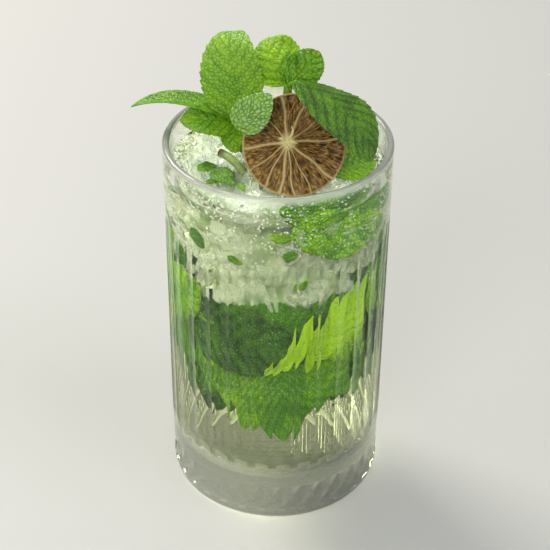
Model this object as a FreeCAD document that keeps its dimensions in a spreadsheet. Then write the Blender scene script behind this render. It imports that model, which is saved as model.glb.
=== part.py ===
# Mojito in a fluted highball glass with crushed ice, a dried lime wheel and mint, in millimetres.
# The origin is the centre of the foot's underside, +Z is up, and a drinker faces the part along +Y.
import FreeCAD, Part
import Sketcher
import math
import os
from FreeCAD import Placement, Rotation, Vector

SIZES = {
    # glass
    "rim_height": 140.6,        # from the table to the top of the lip
    "rim_radius": 39.5,         # outside of the lip
    "lip_wall": 2.65,           # wall at the lip
    "floor_wall": 5.2,          # wall just above the cavity's floor
    "base_glass": 17.0,         # solid glass under the cavity
    "cavity_corner": 9.0,       # round corner between the cavity's floor and wall
    "foot_inset": 0.5,          # foot's radius under the rim's
    "foot_edge": 2.0,           # round edge of the foot
    "band_bottom": 4.2,         # criss-cross band, from here
    "band_top": 15.8,           # to here
    "waist_level": 20.5,        # narrowest place, over the band
    "waist_inset": 0.75,
    "belly_level": 24.5,        # full width again
    "cut_count": 32,            # flutes, and criss-cross cuts each way
    "cut_depth": 1.0,           # V cuts of the band
    "flute_bottom": 24.6,
    "flute_drop": 23.6,         # rim to the flutes' upper ends
    "flute_turn": 4.1,          # degrees that the flutes stand round from the +X axis
    "flute_radius": 11.0,       # of the grinding wheel that a flute follows
    "flute_depth": 0.85,
    "flute_run_out": 4.5,       # length of a flute's tapering end
    # drink and ice
    "level_drop": 9.0,          # rim to the liquid's surface
    "ice_at_wall": 3.4,         # ice over the liquid at the wall
    "ice_mound": 3.6,           # and how much more where it is highest
    "ice_lump": 0.8,            # height of single lumps
    "ice_spread": 13.0,         # half-width of the mound
    "ice_clearance": 0.1,       # ice to the wall
    # lime wheel
    "lime_radius": 17.1,
    "lime_thickness": 4.0,
    "lime_edge": 0.8,
    "lime_segments": 11,
    "lime_rind": 2.0,           # width of rind and pith
    "lime_core": 2.6,
    "lime_membrane": 1.0,
    "lime_recess": 0.7,         # depth of the shrunken flesh
    "lime_lean": 30.0,          # degrees that the wheel leans back
    "lime_sink": 3.0,           # how deep its edge stands in the ice
    "lime_forward": 24.0,       # how far its foot stands in front of the axis
    "lime_aside": 5.3,
    # mint
    "leaf_thickness": 0.8,
    "stem_radius": 1.4,
    "stem_sunk": 8.0,           # stem under the liquid's surface
    "node_radius": 1.9,         # knob that the leaves grow from
    "stalk_radius": 0.8,        # of a leaf that hangs on its own stalk
    "garnish_clearance": 0.3,   # a loose leaf over the ice
    "upright_aside": -13.5,     # knob of the upright sprig, from the glass's axis
    "upright_behind": 2.0,
    "upright_rise": 5.4,        # over the rim
    "draped_aside": -2.3,       # knob of the draped sprig, from the top of the lime wheel's edge
    "draped_behind": 7.9,
    "draped_drop": 1.6,
}

doc = FreeCAD.newDocument("mojito")
sheet = doc.addObject("Spreadsheet::Sheet", "Sizes")
for row, (alias, value) in enumerate(SIZES.items(), start=1):
    sheet.set("A%d" % row, alias)
    sheet.set("B%d" % row, str(value))
    sheet.setAlias("B%d" % row, alias)
doc.recompute()


def size(alias):
    return float(sheet.get(alias))


def bound(expression):
    """Puts the sheet's name before each alias in an expression."""
    words = []
    for word in expression.split():
        words.append("Sizes." + word if word in SIZES else word)
    return " ".join(words)


def origin_plane(body, role):
    for feature in body.Origin.OriginFeatures:
        if feature.Role == role:
            return feature
    raise ValueError(role)


def new_sketch(body, name, role):
    sketch = body.newObject("Sketcher::SketchObject", name)
    sketch.AttachmentSupport = (origin_plane(body, role), [""])
    sketch.MapMode = "FlatFace"
    return sketch


def closed_outline(sketch, corners):
    """Straight closed outline whose corners, pairs of expressions, stay bound to the sheet."""
    points = []
    for across, along in corners:
        points.append(Vector(evaluate(across), evaluate(along), 0))
    count = len(points)
    for i in range(count):
        sketch.addGeometry(Part.LineSegment(points[i], points[(i + 1) % count]), False)
    for i in range(count):
        sketch.addConstraint(Sketcher.Constraint("Coincident", i, 2, (i + 1) % count, 1))
    for i, (across, along) in enumerate(corners):
        for kind, expression, value in (
            ("DistanceX", across, points[i].x),
            ("DistanceY", along, points[i].y),
        ):
            index = sketch.addConstraint(Sketcher.Constraint(kind, -1, 1, i, 1, value))
            if expression not in ("0", "0.0"):
                sketch.setExpression("Constraints[%d]" % index, bound(expression))


def evaluate(expression):
    return float(sheet.evalExpression(bound(expression).replace("Sizes.", "")))


def polar_pattern(body, feature, name):
    pattern = body.newObject("PartDesign::PolarPattern", name)
    pattern.Originals = [feature]
    pattern.Axis = (origin_plane(body, "Z_Axis"), [""])
    pattern.Angle = 360
    body.Tip = pattern
    return pattern


def ring_edges(shape, places, tolerance=0.01):
    """Names of the full circles about the Z axis at the given (radius, level) places."""
    names = []
    for radius, level in places:
        for number, edge in enumerate(shape.Edges, start=1):
            curve = edge.Curve
            if not isinstance(curve, Part.Circle):
                continue
            if abs(curve.Radius - radius) < tolerance and abs(curve.Center.z - level) < tolerance:
                names.append("Edge%d" % number)
    return names


# Glass: a turned wall with fluted sides and a criss-cross band at its foot
WALL_AT = "rim_radius - floor_wall + ( floor_wall - lip_wall ) * ( {} - base_glass ) / ( rim_height - base_glass )"
LEVEL = "( rim_height - level_drop )"

glass = doc.addObject("PartDesign::Body", "glass")
wall_sketch = new_sketch(glass, "wall_outline", "XZ_Plane")
closed_outline(wall_sketch, [
    ("0", "0"),
    ("rim_radius - foot_inset", "0"),
    ("rim_radius - foot_inset / 2", "band_bottom"),
    ("rim_radius - foot_inset / 2", "band_top"),
    ("rim_radius - waist_inset", "waist_level"),
    ("rim_radius", "belly_level"),
    ("rim_radius", "rim_height"),
    ("rim_radius - lip_wall", "rim_height"),
    ("rim_radius - floor_wall", "base_glass"),
    ("0", "base_glass"),
])
wall = glass.newObject("PartDesign::Revolution", "wall")
wall.Profile = wall_sketch
wall.ReferenceAxis = (wall_sketch, ["V_Axis"])
doc.recompute()

rim, lip = size("rim_radius"), size("rim_height")
rounding = glass.newObject("PartDesign::Fillet", "lip_and_foot")
rounding.Base = (wall, ring_edges(wall.Shape, [
    (rim, lip),
    (rim - size("lip_wall"), lip),
]))
rounding.setExpression("Radius", bound("lip_wall * 0.45"))
doc.recompute()

foot_round = glass.newObject("PartDesign::Fillet", "foot_round")
foot_round.Base = (rounding, ring_edges(rounding.Shape, [(rim - size("foot_inset"), 0)]))
foot_round.setExpression("Radius", bound("foot_edge"))
doc.recompute()

cavity_round = glass.newObject("PartDesign::Fillet", "cavity_round")
cavity_round.Base = (foot_round, ring_edges(foot_round.Shape, [
    (rim - size("floor_wall"), size("base_glass")),
]))
cavity_round.setExpression("Radius", bound("cavity_corner"))
doc.recompute()

# One flute follows a grinding wheel whose ends taper, so that it runs out in a round arch
flute_sketch = new_sketch(glass, "flute_outline", "XZ_Plane")
flute_sketch.setExpression(".AttachmentOffset.Base.x", bound("rim_radius + flute_radius - flute_depth"))
closed_outline(flute_sketch, [
    ("0", "flute_bottom - flute_run_out"),
    ("flute_radius - 2 * flute_depth", "flute_bottom - flute_run_out"),
    ("flute_radius", "flute_bottom + flute_run_out"),
    ("flute_radius", "rim_height - flute_drop - flute_run_out"),
    ("flute_radius - 2 * flute_depth", "rim_height - flute_drop + flute_run_out"),
    ("0", "rim_height - flute_drop + flute_run_out"),
])
flute = glass.newObject("PartDesign::Groove", "flute")
flute.Profile = flute_sketch
flute.ReferenceAxis = (flute_sketch, ["V_Axis"])
doc.recompute()
flutes = polar_pattern(glass, flute, "flutes")
flutes.setExpression("Occurrences", bound("cut_count"))
doc.recompute()

# V cuts that climb one pitch over the band's height, once each way round
for name, side in (("rising_cut", 1), ("falling_cut", -1)):
    cut_sketch = new_sketch(glass, name + "_outline", "XY_Plane")
    cut_sketch.AttachmentOffset = Placement(Vector(), Rotation(Vector(side, 0, 0), 30))
    cut_sketch.setExpression(".AttachmentOffset.Base.x", bound("rim_radius - foot_inset / 2"))
    cut_sketch.setExpression(".AttachmentOffset.Base.z", bound("( band_bottom + band_top ) / 2"))
    cut_sketch.setExpression(
        ".AttachmentOffset.Rotation.Angle",
        bound("atan( 2 * pi * rim_radius / cut_count / ( band_top - band_bottom ) )"),
    )
    half_width = "pi * rim_radius / cut_count * 0.8"
    closed_outline(cut_sketch, [
        ("0 - cut_depth", "0"),
        ("cut_depth", "0 - 2 * " + half_width),
        ("cut_depth", "2 * " + half_width),
    ])
    cut = glass.newObject("PartDesign::Pocket", name)
    cut.Profile = cut_sketch
    cut.Midplane = True
    cut.setExpression("Length", bound("band_top - band_bottom"))
    doc.recompute()
    cuts = polar_pattern(glass, cut, name + "s")
    cuts.setExpression("Occurrences", bound("cut_count"))
    doc.recompute()
glass.Placement = Placement(Vector(), Rotation(Vector(0, 0, 1), size("flute_turn")))

# Drink: fills the cavity, wall to wall, up to its level
drink = doc.addObject("PartDesign::Body", "drink_fill")
drink_sketch = new_sketch(drink, "drink_outline", "XZ_Plane")
closed_outline(drink_sketch, [
    ("0", "base_glass"),
    ("rim_radius - floor_wall", "base_glass"),
    (WALL_AT.format(LEVEL), LEVEL),
    ("0", LEVEL),
])
drink_turned = drink.newObject("PartDesign::Revolution", "drink_turned")
drink_turned.Profile = drink_sketch
drink_turned.ReferenceAxis = (drink_sketch, ["V_Axis"])
doc.recompute()
drink_round = drink.newObject("PartDesign::Fillet", "drink_round")
drink_round.Base = (drink_turned, ring_edges(drink_turned.Shape, [
    (rim - size("floor_wall"), size("base_glass")),
]))
drink_round.setExpression("Radius", bound("cavity_corner"))

# Space over the drink that the ice may fill
headroom = doc.addObject("PartDesign::Body", "headroom")
headroom_sketch = new_sketch(headroom, "headroom_outline", "XZ_Plane")
closed_outline(headroom_sketch, [
    ("0", LEVEL),
    (WALL_AT.format(LEVEL) + " - ice_clearance", LEVEL),
    (WALL_AT.format("rim_height") + " - ice_clearance", "rim_height"),
    ("0", "rim_height"),
])
headroom_turned = headroom.newObject("PartDesign::Revolution", "headroom_turned")
headroom_turned.Profile = headroom_sketch
headroom_turned.ReferenceAxis = (headroom_sketch, ["V_Axis"])

# Lime wheel: a dried slice whose flesh has shrunk between its membranes
lime = doc.addObject("PartDesign::Body", "lime_wheel")
slice_sketch = new_sketch(lime, "slice_outline", "XY_Plane")
slice_sketch.addGeometry(Part.Circle(Vector(), Vector(0, 0, 1), size("lime_radius")), False)
slice_sketch.addConstraint(Sketcher.Constraint("Coincident", 0, 3, -1, 1))
radius_row = slice_sketch.addConstraint(Sketcher.Constraint("Radius", 0, size("lime_radius")))
slice_sketch.setExpression("Constraints[%d]" % radius_row, bound("lime_radius"))
lime_disc = lime.newObject("PartDesign::Pad", "lime_disc")
lime_disc.Profile = slice_sketch
lime_disc.Midplane = True
lime_disc.setExpression("Length", bound("lime_thickness"))
doc.recompute()
half_slice = size("lime_thickness") / 2
lime_round = lime.newObject("PartDesign::Fillet", "lime_round")
lime_round.Base = (lime_disc, ring_edges(lime_disc.Shape, [
    (size("lime_radius"), half_slice),
    (size("lime_radius"), -half_slice),
]))
lime_round.setExpression("Radius", bound("lime_edge"))
doc.recompute()

SEGMENT_HALF = "( {} * tan( 180 / lime_segments ) - lime_membrane / 2 )"
inner_reach = "( lime_core + lime_membrane )"
outer_reach = "( lime_radius - lime_rind )"
for name, face, from_back in (("front_flesh", "lime_thickness / 2", False),
                              ("back_flesh", "0 - lime_thickness / 2", True)):
    flesh_sketch = new_sketch(lime, name + "_outline", "XY_Plane")
    flesh_sketch.setExpression(".AttachmentOffset.Base.z", bound(face))
    closed_outline(flesh_sketch, [
        (inner_reach, "0 - " + SEGMENT_HALF.format(inner_reach)),
        (outer_reach + " * 0.95", "0 - " + SEGMENT_HALF.format(outer_reach)),
        (outer_reach, "0"),
        (outer_reach + " * 0.95", SEGMENT_HALF.format(outer_reach)),
        (inner_reach, SEGMENT_HALF.format(inner_reach)),
    ])
    flesh = lime.newObject("PartDesign::Pocket", name)
    flesh.Profile = flesh_sketch
    flesh.Reversed = from_back
    flesh.setExpression("Length", bound("lime_recess"))
    doc.recompute()
    segments = polar_pattern(lime, flesh, name + "_segments")
    segments.setExpression("Occurrences", bound("lime_segments"))
    doc.recompute()

lean = math.radians(size("lime_lean"))
ice_top = lip - size("level_drop") + size("ice_at_wall")
foot_of_lime = Vector(size("lime_aside"), -size("lime_forward"), ice_top - size("lime_sink"))
lime_up = Vector(0, math.sin(lean), math.cos(lean))
top_of_lime = foot_of_lime + lime_up * (2 * size("lime_radius"))
lime.Placement = Placement(
    foot_of_lime + lime_up * size("lime_radius"),
    Rotation(Vector(1, 0, 0), 90 - size("lime_lean")),
)
doc.recompute()

# Ice: a heap of crushed lumps over the drink, cut round the wheel and the stems
HEAP_STEPS = 26


def ice_height(x, y):
    """Height of the heap's top over the liquid."""
    reach = (x + 3) ** 2 + (y + 2) ** 2
    mound = size("ice_mound") * math.exp(-reach / 2 / size("ice_spread") ** 2)
    lumps = math.sin(0.62 * x + 1.3 * math.sin(0.31 * y)) * math.cos(0.55 * y + 0.9 * math.sin(0.27 * x))
    return size("ice_at_wall") + mound + size("ice_lump") * lumps


def heap_under(heights):
    """Block whose top follows the given height function, over the whole mouth."""
    level = lip - size("level_drop")
    half = rim * 1.05
    rows = []
    for i in range(HEAP_STEPS + 1):
        x = -half + 2 * half * i / HEAP_STEPS
        row = []
        for j in range(HEAP_STEPS + 1):
            y = -half + 2 * half * j / HEAP_STEPS
            row.append(Vector(x, y, level + heights(x, y)))
        rows.append(row)
    top = Part.BSplineSurface()
    top.interpolate(rows)
    return top.toShape().extrude(Vector(0, 0, -2 * size("level_drop")))


# Mint: every leaf is a blade swept along a spine that bends, sweeps and curls
LEAF_ROWS = 14
LEAF_COLUMNS = 6
SEW_TOLERANCE = 0.01


def unit(vector):
    copy = Vector(vector)
    copy.normalize()
    return copy


def turned(first, second, degrees):
    """Two square directions turned towards each other in their own plane."""
    cosine, sine = math.cos(math.radians(degrees)), math.sin(math.radians(degrees))
    return unit(first * cosine + second * sine), unit(second * cosine - first * sine)


def leaf_spine(leaf, rows):
    """Stations along the leaf: share of length, place, direction, upper side and side."""
    along = unit(Vector(*leaf["aim"]))
    facing = Vector(*leaf["facing"])
    upper = unit(facing - along * facing.dot(along))
    side = along.cross(upper)
    place = Vector(*leaf["base"])
    step = 1.0 / rows
    stations = []
    for row in range(rows + 1):
        share = row * step
        stations.append((share, Vector(place), Vector(upper), Vector(side)))
        middle = share + step / 2
        droop = (leaf["bend"] + 4 * leaf["curl"] * middle ** 3) * step
        along, upper = turned(along, upper, -droop)
        along, side = turned(along, side, leaf.get("sweep", 0) * step)
        upper, side = turned(upper, side, leaf.get("twist", 0) * step)
        place = place + along * (leaf["length"] * step)
    return stations


def leaf_half_width(leaf, share):
    """Egg-shaped outline, widest at two fifths of the length, with a narrow stalk and tip."""
    egg = math.sqrt(share) * (1 - share) ** 0.7 / 0.4475
    return max(leaf["width"] / 2 * egg, size("stem_radius") * 0.5)


def leaf_sides(leaf):
    """Grids of points on the leaf's upper and lower side."""
    half_thickness = size("leaf_thickness") / 2
    fold = math.radians(leaf["fold"])
    upper_rows, lower_rows = [], []
    for share, place, upper, side in leaf_spine(leaf, LEAF_ROWS):
        half_width = leaf_half_width(leaf, share)
        upper_row, lower_row = [], []
        for column in range(LEAF_COLUMNS + 1):
            across = 2.0 * column / LEAF_COLUMNS - 1
            lift = abs(across) * half_width * math.sin(fold)
            ripple = leaf["wave"] * math.sin(3 * math.pi * share + (0.6 if across > 0 else 2.1))
            lift += ripple * abs(across) ** 1.5 * half_width / leaf["width"] * 2
            point = place + side * (across * half_width * math.cos(fold)) + upper * lift
            upper_row.append(point + upper * half_thickness)
            lower_row.append(point - upper * half_thickness)
        upper_rows.append(upper_row)
        lower_rows.append(lower_row)
    return upper_rows, lower_rows


def leaf_solid(leaf):
    """Blade between its two sides, closed round the margin."""
    surfaces = []
    for rows in leaf_sides(leaf):
        surface = Part.BSplineSurface()
        surface.interpolate(rows)
        surfaces.append(surface)
    faces = [surface.toShape() for surface in surfaces]
    for end in (0, -1):
        stalk_and_tip = [surface.uIso(surface.getUKnots()[end]).toShape() for surface in surfaces]
        margin = [surface.vIso(surface.getVKnots()[end]).toShape() for surface in surfaces]
        faces.append(Part.makeRuledSurface(*stalk_and_tip))
        faces.append(Part.makeRuledSurface(*margin))
    shell = Part.makeShell(faces)
    shell.sewShape(SEW_TOLERANCE)
    blade = Part.makeSolid(shell)
    if blade.Volume < 0:
        blade.reverse()
    return blade


KNOBS = {
    "upright": Vector(size("upright_aside"), size("upright_behind"), lip + size("upright_rise")),
    "draped": top_of_lime + Vector(size("draped_aside"), size("draped_behind"), -size("draped_drop")),
}


def stem_under(knob, radius):
    """Stalk from the knob straight down into the drink."""
    end = lip - size("level_drop") - size("stem_sunk")
    return Part.makeCylinder(radius, knob.z - end, Vector(knob.x, knob.y, end))


def add_feature(name, shape):
    feature = doc.addObject("Part::Feature", name)
    feature.Shape = shape
    return feature


# The sprigs: each leaf's place is from its knob; aim and facing are its direction and upper side there
SPRIGS = {
    "upright": [
        dict(base=(0, 0, 0), aim=(-0.15, 0.05, 1), facing=(-0.15, -1, 0.1), length=35.5, width=21.5,
             bend=5, curl=115, sweep=3, fold=8, wave=0.6),
        dict(base=(0, 0, 0), aim=(-1, 0.25, 0.5), facing=(0.3, -0.1, 1), length=40, width=12,
             bend=48, curl=8, fold=20, wave=0.2),
        dict(base=(0, 0, 0), aim=(-1, -0.25, 0.22), facing=(0, -0.8, 1), length=20, width=13,
             bend=15, curl=20, fold=10, wave=0.3),
        dict(base=(0, 0, 0), aim=(-0.15, -0.7, -0.15), facing=(-0.6, -0.8, 0.6), length=13, width=11,
             bend=30, curl=20, fold=15, wave=0.2),
        dict(base=(-0.1, -17.6, 7.2), aim=(0.62, -0.16, 0.76), facing=(0.12, -0.9, 0.5), length=15,
             width=13, bend=8, curl=20, fold=6, wave=0.3),
    ],
    "draped": [
        dict(base=(0, 0.6, 0), aim=(-0.48, 0.62, 0.8), facing=(0.1, -1, 0.5), length=17.5, width=16.5,
             bend=15, curl=40, fold=8, wave=1.3),
        dict(base=(0, 0, 0), aim=(0.75, 0.3, 0.75), facing=(0, -1, 0.5), length=16.5, width=13,
             bend=25, curl=30, fold=8, wave=1.0),
        dict(base=(2.9, -5.5, 4.5), aim=(0.65, -0.41, 0), facing=(0.92, -0.22, 1), length=39.5,
             width=25.9, bend=56.7, curl=32.2, sweep=-8, twist=24, fold=-5, wave=0.6),
    ],
}


def sprig_solid(sprig):
    """Stem, knob and leaves grown together."""
    knob = KNOBS[sprig]
    pieces = [stem_under(knob, size("stem_radius"))]
    for leaf in SPRIGS[sprig]:
        start = knob + Vector(*leaf["base"])
        pieces.append(leaf_solid(dict(leaf, base=tuple(start))))
        stalk = start - knob
        if stalk.Length > 0:
            pieces.append(Part.makeCylinder(size("stalk_radius"), stalk.Length, knob, stalk))
            pieces.append(Part.makeSphere(size("stalk_radius") * 1.2, start))
    grown = Part.makeSphere(size("node_radius"), knob)
    for piece in pieces:          # one at a time, because a single fuse can lose a leaf
        grown = grown.fuse(piece)
    return grown.Solids[0] if len(grown.Solids) == 1 else grown


upright_sprig = add_feature("mint_sprig_upright", sprig_solid("upright"))
draped_sprig = add_feature("mint_sprig_draped", sprig_solid("draped"))

# A loose leaf lies on the ice, from the wheel's edge nearly to the wall
mouth = rim - size("lip_wall")
loose_start = size("lime_aside") + 0.7 * size("lime_radius")
loose_length = (0.9 * mouth - loose_start) * 1.06
RESTING_LEAF = dict(base=(loose_start, -0.434 * mouth, 0), aim=(1, 0.35, 0.2), facing=(0, -0.4, 1),
                    length=loose_length, width=0.82 * loose_length, bend=20, curl=0, fold=8, wave=0.3)


def lift_onto_ice(leaf):
    """Height that puts the leaf's underside just clear of the ice."""
    level = lip - size("level_drop")
    lift = -lip
    for row in leaf_sides(leaf)[1]:
        for point in row:
            lift = max(lift, level + ice_height(point.x, point.y) - point.z)
    return lift + size("garnish_clearance")


resting_base = RESTING_LEAF["base"]
resting_leaf = dict(RESTING_LEAF, base=(resting_base[0], resting_base[1], lift_onto_ice(RESTING_LEAF)))
loose_leaf = add_feature("mint_leaf_resting", leaf_solid(resting_leaf))

# The drink and the ice make room for the wheel and the stems that stand in them
wheel_room = Part.makeCylinder(
    size("lime_radius"),
    size("lime_thickness"),
    Vector(0, 0, -size("lime_thickness") / 2),
)
wheel_room.Placement = lime.Placement.multiply(wheel_room.Placement)
garnish_room = [wheel_room]
for sprig in SPRIGS:
    garnish_room.append(stem_under(KNOBS[sprig], size("stem_radius")))

drink_cut = add_feature("drink", drink.Shape.cut(garnish_room))
heap = headroom.Shape.common(heap_under(ice_height))
ice_heap = add_feature("crushed_ice", heap.cut(garnish_room))

NODES = [glass, drink_cut, ice_heap, lime, upright_sprig, draped_sprig, loose_leaf]
doc.recompute()

for item in doc.Objects:
    if "Invalid" in item.State or "Error" in item.State:
        raise RuntimeError("%s did not build: %s" % (item.Name, item.State))
for node in NODES:
    if node.Shape.isNull() or not node.Shape.isValid():
        raise RuntimeError("%s has no valid shape" % node.Label)
    if len(node.Shape.Solids) != 1:
        raise RuntimeError("%s has %d solids" % (node.Label, len(node.Shape.Solids)))

os.makedirs("parts", exist_ok=True)
for node in NODES:
    node.Shape.exportStep(os.path.join("parts", node.Label + ".step"))
    box = node.Shape.BoundBox
    print("%-20s %8.1f cm3  z %6.1f to %6.1f" % (node.Label, node.Shape.Volume / 1000, box.ZMin, box.ZMax))
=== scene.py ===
import math

import bmesh
import bpy
import numpy as np
from mathutils import Matrix, Vector, noise


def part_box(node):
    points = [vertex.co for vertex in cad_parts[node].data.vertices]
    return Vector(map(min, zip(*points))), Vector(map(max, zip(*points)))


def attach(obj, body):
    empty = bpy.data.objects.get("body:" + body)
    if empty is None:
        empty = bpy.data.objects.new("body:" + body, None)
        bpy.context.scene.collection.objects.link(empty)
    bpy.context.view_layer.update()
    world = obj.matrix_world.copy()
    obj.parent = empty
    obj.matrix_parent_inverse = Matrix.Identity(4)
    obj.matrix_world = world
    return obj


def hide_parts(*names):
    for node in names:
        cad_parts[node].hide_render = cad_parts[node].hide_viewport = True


# a mojito in a fluted highball glass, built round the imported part, in metres
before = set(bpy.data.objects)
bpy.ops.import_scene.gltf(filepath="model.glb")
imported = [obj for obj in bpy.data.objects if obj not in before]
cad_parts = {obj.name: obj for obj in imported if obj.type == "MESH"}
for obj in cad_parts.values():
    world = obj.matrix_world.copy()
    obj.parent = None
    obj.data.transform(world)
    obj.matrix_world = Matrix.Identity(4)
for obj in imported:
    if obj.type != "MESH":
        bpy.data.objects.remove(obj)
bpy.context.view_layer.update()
mm = 0.001
scene = bpy.context.scene
print("frame loaded:", sorted(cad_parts))


# small helpers

# sRGB hex to linear
def lin(hexColour):
    values = [int(hexColour[i:i + 2], 16) / 255 for i in (0, 2, 4)]
    return tuple(v / 12.92 if v <= 0.04045 else ((v + 0.055) / 1.055) ** 2.4 for v in values) + (1.0,)


def newMaterial(name):
    material = bpy.data.materials.new(name)
    material.use_nodes = True
    material.node_tree.nodes.clear()
    return material


def node(tree, kind, settings=None, links=None, **attributes):
    made = tree.nodes.new(kind)
    for name, value in attributes.items():
        setattr(made, name, value)
    for name, value in (settings or {}).items():
        made.inputs[name].default_value = value
    for name, source in (links or {}).items():
        tree.links.new(source, made.inputs[name])
    return made


def ramp(tree, source, stops):
    made = node(tree, "ShaderNodeValToRGB", links={"Fac": source})
    elements = made.color_ramp.elements
    while len(elements) < len(stops):
        elements.new(0.5)
    for element, (position, colour) in zip(elements, stops):
        element.position = position
        element.color = colour
    return made


def meshObject(name, points, faces, material, smoothAngle=None):
    mesh = bpy.data.meshes.new(name)
    mesh.from_pydata([tuple(p) for p in points], [], [tuple(f) for f in faces])
    mesh.update()
    piece = bpy.data.objects.new(name, mesh)
    scene.collection.objects.link(piece)
    if material:
        mesh.materials.append(material)
    mesh.shade_smooth()
    if smoothAngle is not None:
        mesh.set_sharp_from_angle(angle=math.radians(smoothAngle))
    return piece


def finishPiece(piece, cadNode=None):
    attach(piece, "root")
    if cadNode:
        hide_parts(cadNode)
    mesh = piece.data
    mesh.calc_loop_triangles()
    print(piece.name, len(mesh.loop_triangles), "triangles")


# glass

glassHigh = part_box("glass")[1]
glassShape = {
    "rimRadius": glassHigh.x,
    "rimHeight": glassHigh.z,
    "lipWall": 2.65 * mm,
    "floorWall": 5.2 * mm,
    "baseGlass": 17 * mm,
    "cavityCorner": 9 * mm,
    "soleRings": (10 * mm, 20 * mm, 29 * mm, 34 * mm),
    "footInset": 0.5 * mm,
    "footEdge": 2 * mm,
    "bandBottom": 4.2 * mm,
    "bandTop": 15.8 * mm,
    "underBand": 0.35 * mm,
    "overBand": 0.3 * mm,
    "waistLevel": 20.5 * mm,
    "waistInset": 0.75 * mm,
    "bellyLevel": 24.5 * mm,
    "fluteCount": 32,
    "fluteTurn": 4.1,          # degrees
    "fluteBottom": 24.6 * mm,
    "fluteTop": 117 * mm,
    "fluteRadius": 11 * mm,
    "fluteDepth": 0.85 * mm,
    "fluteRunOut": 4.5 * mm,
    "lowRowStep": 0.35 * mm,   # rows stand close where the flutes run out
    "highRowStep": 0.5 * mm,
    "cutDepth": 1.0 * mm,      # of the band's diamonds
    "columnsPerFlute": 12,
}


# inside of the wall
def wallRadius(z):
    g = glassShape
    share = (z - g["baseGlass"]) / (g["rimHeight"] - g["baseGlass"])
    return g["rimRadius"] - g["floorWall"] + (g["floorWall"] - g["lipWall"]) * share


# (radius, level) pairs from a level on the wall down to near the centre of the floor
def cavityProfile(top, outwards=0.0, spacing=8 * mm):
    g = glassShape
    corner = g["cavityCorner"]
    floor = g["baseGlass"]
    pairs = []
    steps = max(2, round((top - floor - corner) / spacing))
    for i in range(steps):
        z = top + (floor + corner - top) * i / steps
        pairs.append((wallRadius(z) + outwards, z))
    edge = wallRadius(floor + corner) + outwards
    for i in range(11):
        a = math.radians(90 * i / 10)
        pairs.append((edge - (corner + outwards) * (1 - math.cos(a)),
                      floor + corner - (corner + outwards) * math.sin(a)))
    for share in (0.75, 0.5, 0.25):
        pairs.append(((edge - corner) * share, floor - outwards))
    return pairs


# round cutter of one flute, tapered at both ends
def cutterRadius(z):
    g = glassShape
    reach = g["fluteRunOut"]
    taper = g["fluteDepth"] / reach
    fromEnd = np.minimum(z - g["fluteBottom"], g["fluteTop"] - z)
    return g["fluteRadius"] - np.clip(reach - fromEnd, 0, 4 * reach) * taper


# (radius, level, band row or None, may be fluted) from the sole up the outside and down the inside
def glassRows():
    g = glassShape
    rim, perFlute = g["rimRadius"], g["columnsPerFlute"]
    foot = rim - g["footInset"]
    bandRadius = rim - g["footInset"] / 2
    rows = [(radius, 0.0, None, False) for radius in g["soleRings"]]
    for i in range(11):
        a = math.radians(90 * i / 10)
        radius = foot - g["footEdge"] * (1 - math.sin(a))
        rows.append((radius, g["footEdge"] * (1 - math.cos(a)), None, False))
    rows.append((bandRadius, g["bandBottom"] - g["underBand"], None, False))
    for i in range(perFlute + 1):
        z = g["bandBottom"] + (g["bandTop"] - g["bandBottom"]) * i / perFlute
        rows.append((bandRadius, z, i, False))
    shoulder = g["bandTop"] + g["overBand"]
    rows.append((bandRadius, shoulder, None, False))
    for i in range(1, 9):          # shoulder down to the waist
        share = i / 8
        z = shoulder + (g["waistLevel"] - g["bandTop"] - g["overBand"]) * share
        rows.append((bandRadius - (g["waistInset"] - g["footInset"] / 2) * share ** 2.2, z, None, False))
    for i in range(1, 6):          # and out again to the belly
        share = i / 5
        z = g["waistLevel"] + (g["bellyLevel"] - g["waistLevel"]) * share
        radius = rim - g["waistInset"] + g["waistInset"] * math.sin(share * math.pi / 2) ** 0.7
        rows.append((radius, z, None, False))
    levels = [g["bellyLevel"] + g["lowRowStep"] * (i + 1) for i in range(30)]
    levels += list(np.linspace(levels[-1] + 6 * mm, g["fluteTop"] - 12 * mm, 9))
    levels += [levels[-1] + g["highRowStep"] * (i + 1) for i in range(30)]
    levels += list(np.linspace(levels[-1] + 3 * mm, g["rimHeight"] - 2 * mm, 4))
    rows += [(rim, z, None, True) for z in levels]
    lip = g["lipWall"] / 2
    for i in range(23):
        a = math.pi * i / 22
        radius = rim - lip + lip * math.cos(a)
        rows.append((radius, g["rimHeight"] - lip + lip * math.sin(a), None, False))
    rows += [(radius, z, None, False) for radius, z in cavityProfile(g["rimHeight"] - 2 * mm)]
    return rows


def glassPoints(rows, count):
    g = glassShape
    perFlute = g["columnsPerFlute"]
    half = perFlute / 2
    column = np.arange(count)
    angle = 2 * math.pi * column / count + math.radians(g["fluteTurn"])
    fromFlute = ((column + half) % perFlute - half) * 2 * math.pi / count
    axis = g["rimRadius"] + g["fluteRadius"] - g["fluteDepth"]
    points = []
    for radius, z, bandRow, fluted in rows:
        r = np.full(count, radius)
        if fluted:
            inside = cutterRadius(np.array(z)) ** 2 - (axis * np.sin(fromFlute)) ** 2
            cut = axis * np.cos(fromFlute) - np.sqrt(np.clip(inside, 0, None))
            r = np.where(inside > 0, np.minimum(r, cut), r)
        if bandRow is not None:
            rising = np.abs((column - bandRow + half) % perFlute - half) / half
            falling = np.abs((column + bandRow + half) % perFlute - half) / half
            r = r - g["cutDepth"] * (1 - np.minimum(rising, falling))
        points.append(np.column_stack([r * np.cos(angle), r * np.sin(angle), np.full(count, z)]))
    return np.concatenate(points)


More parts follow.
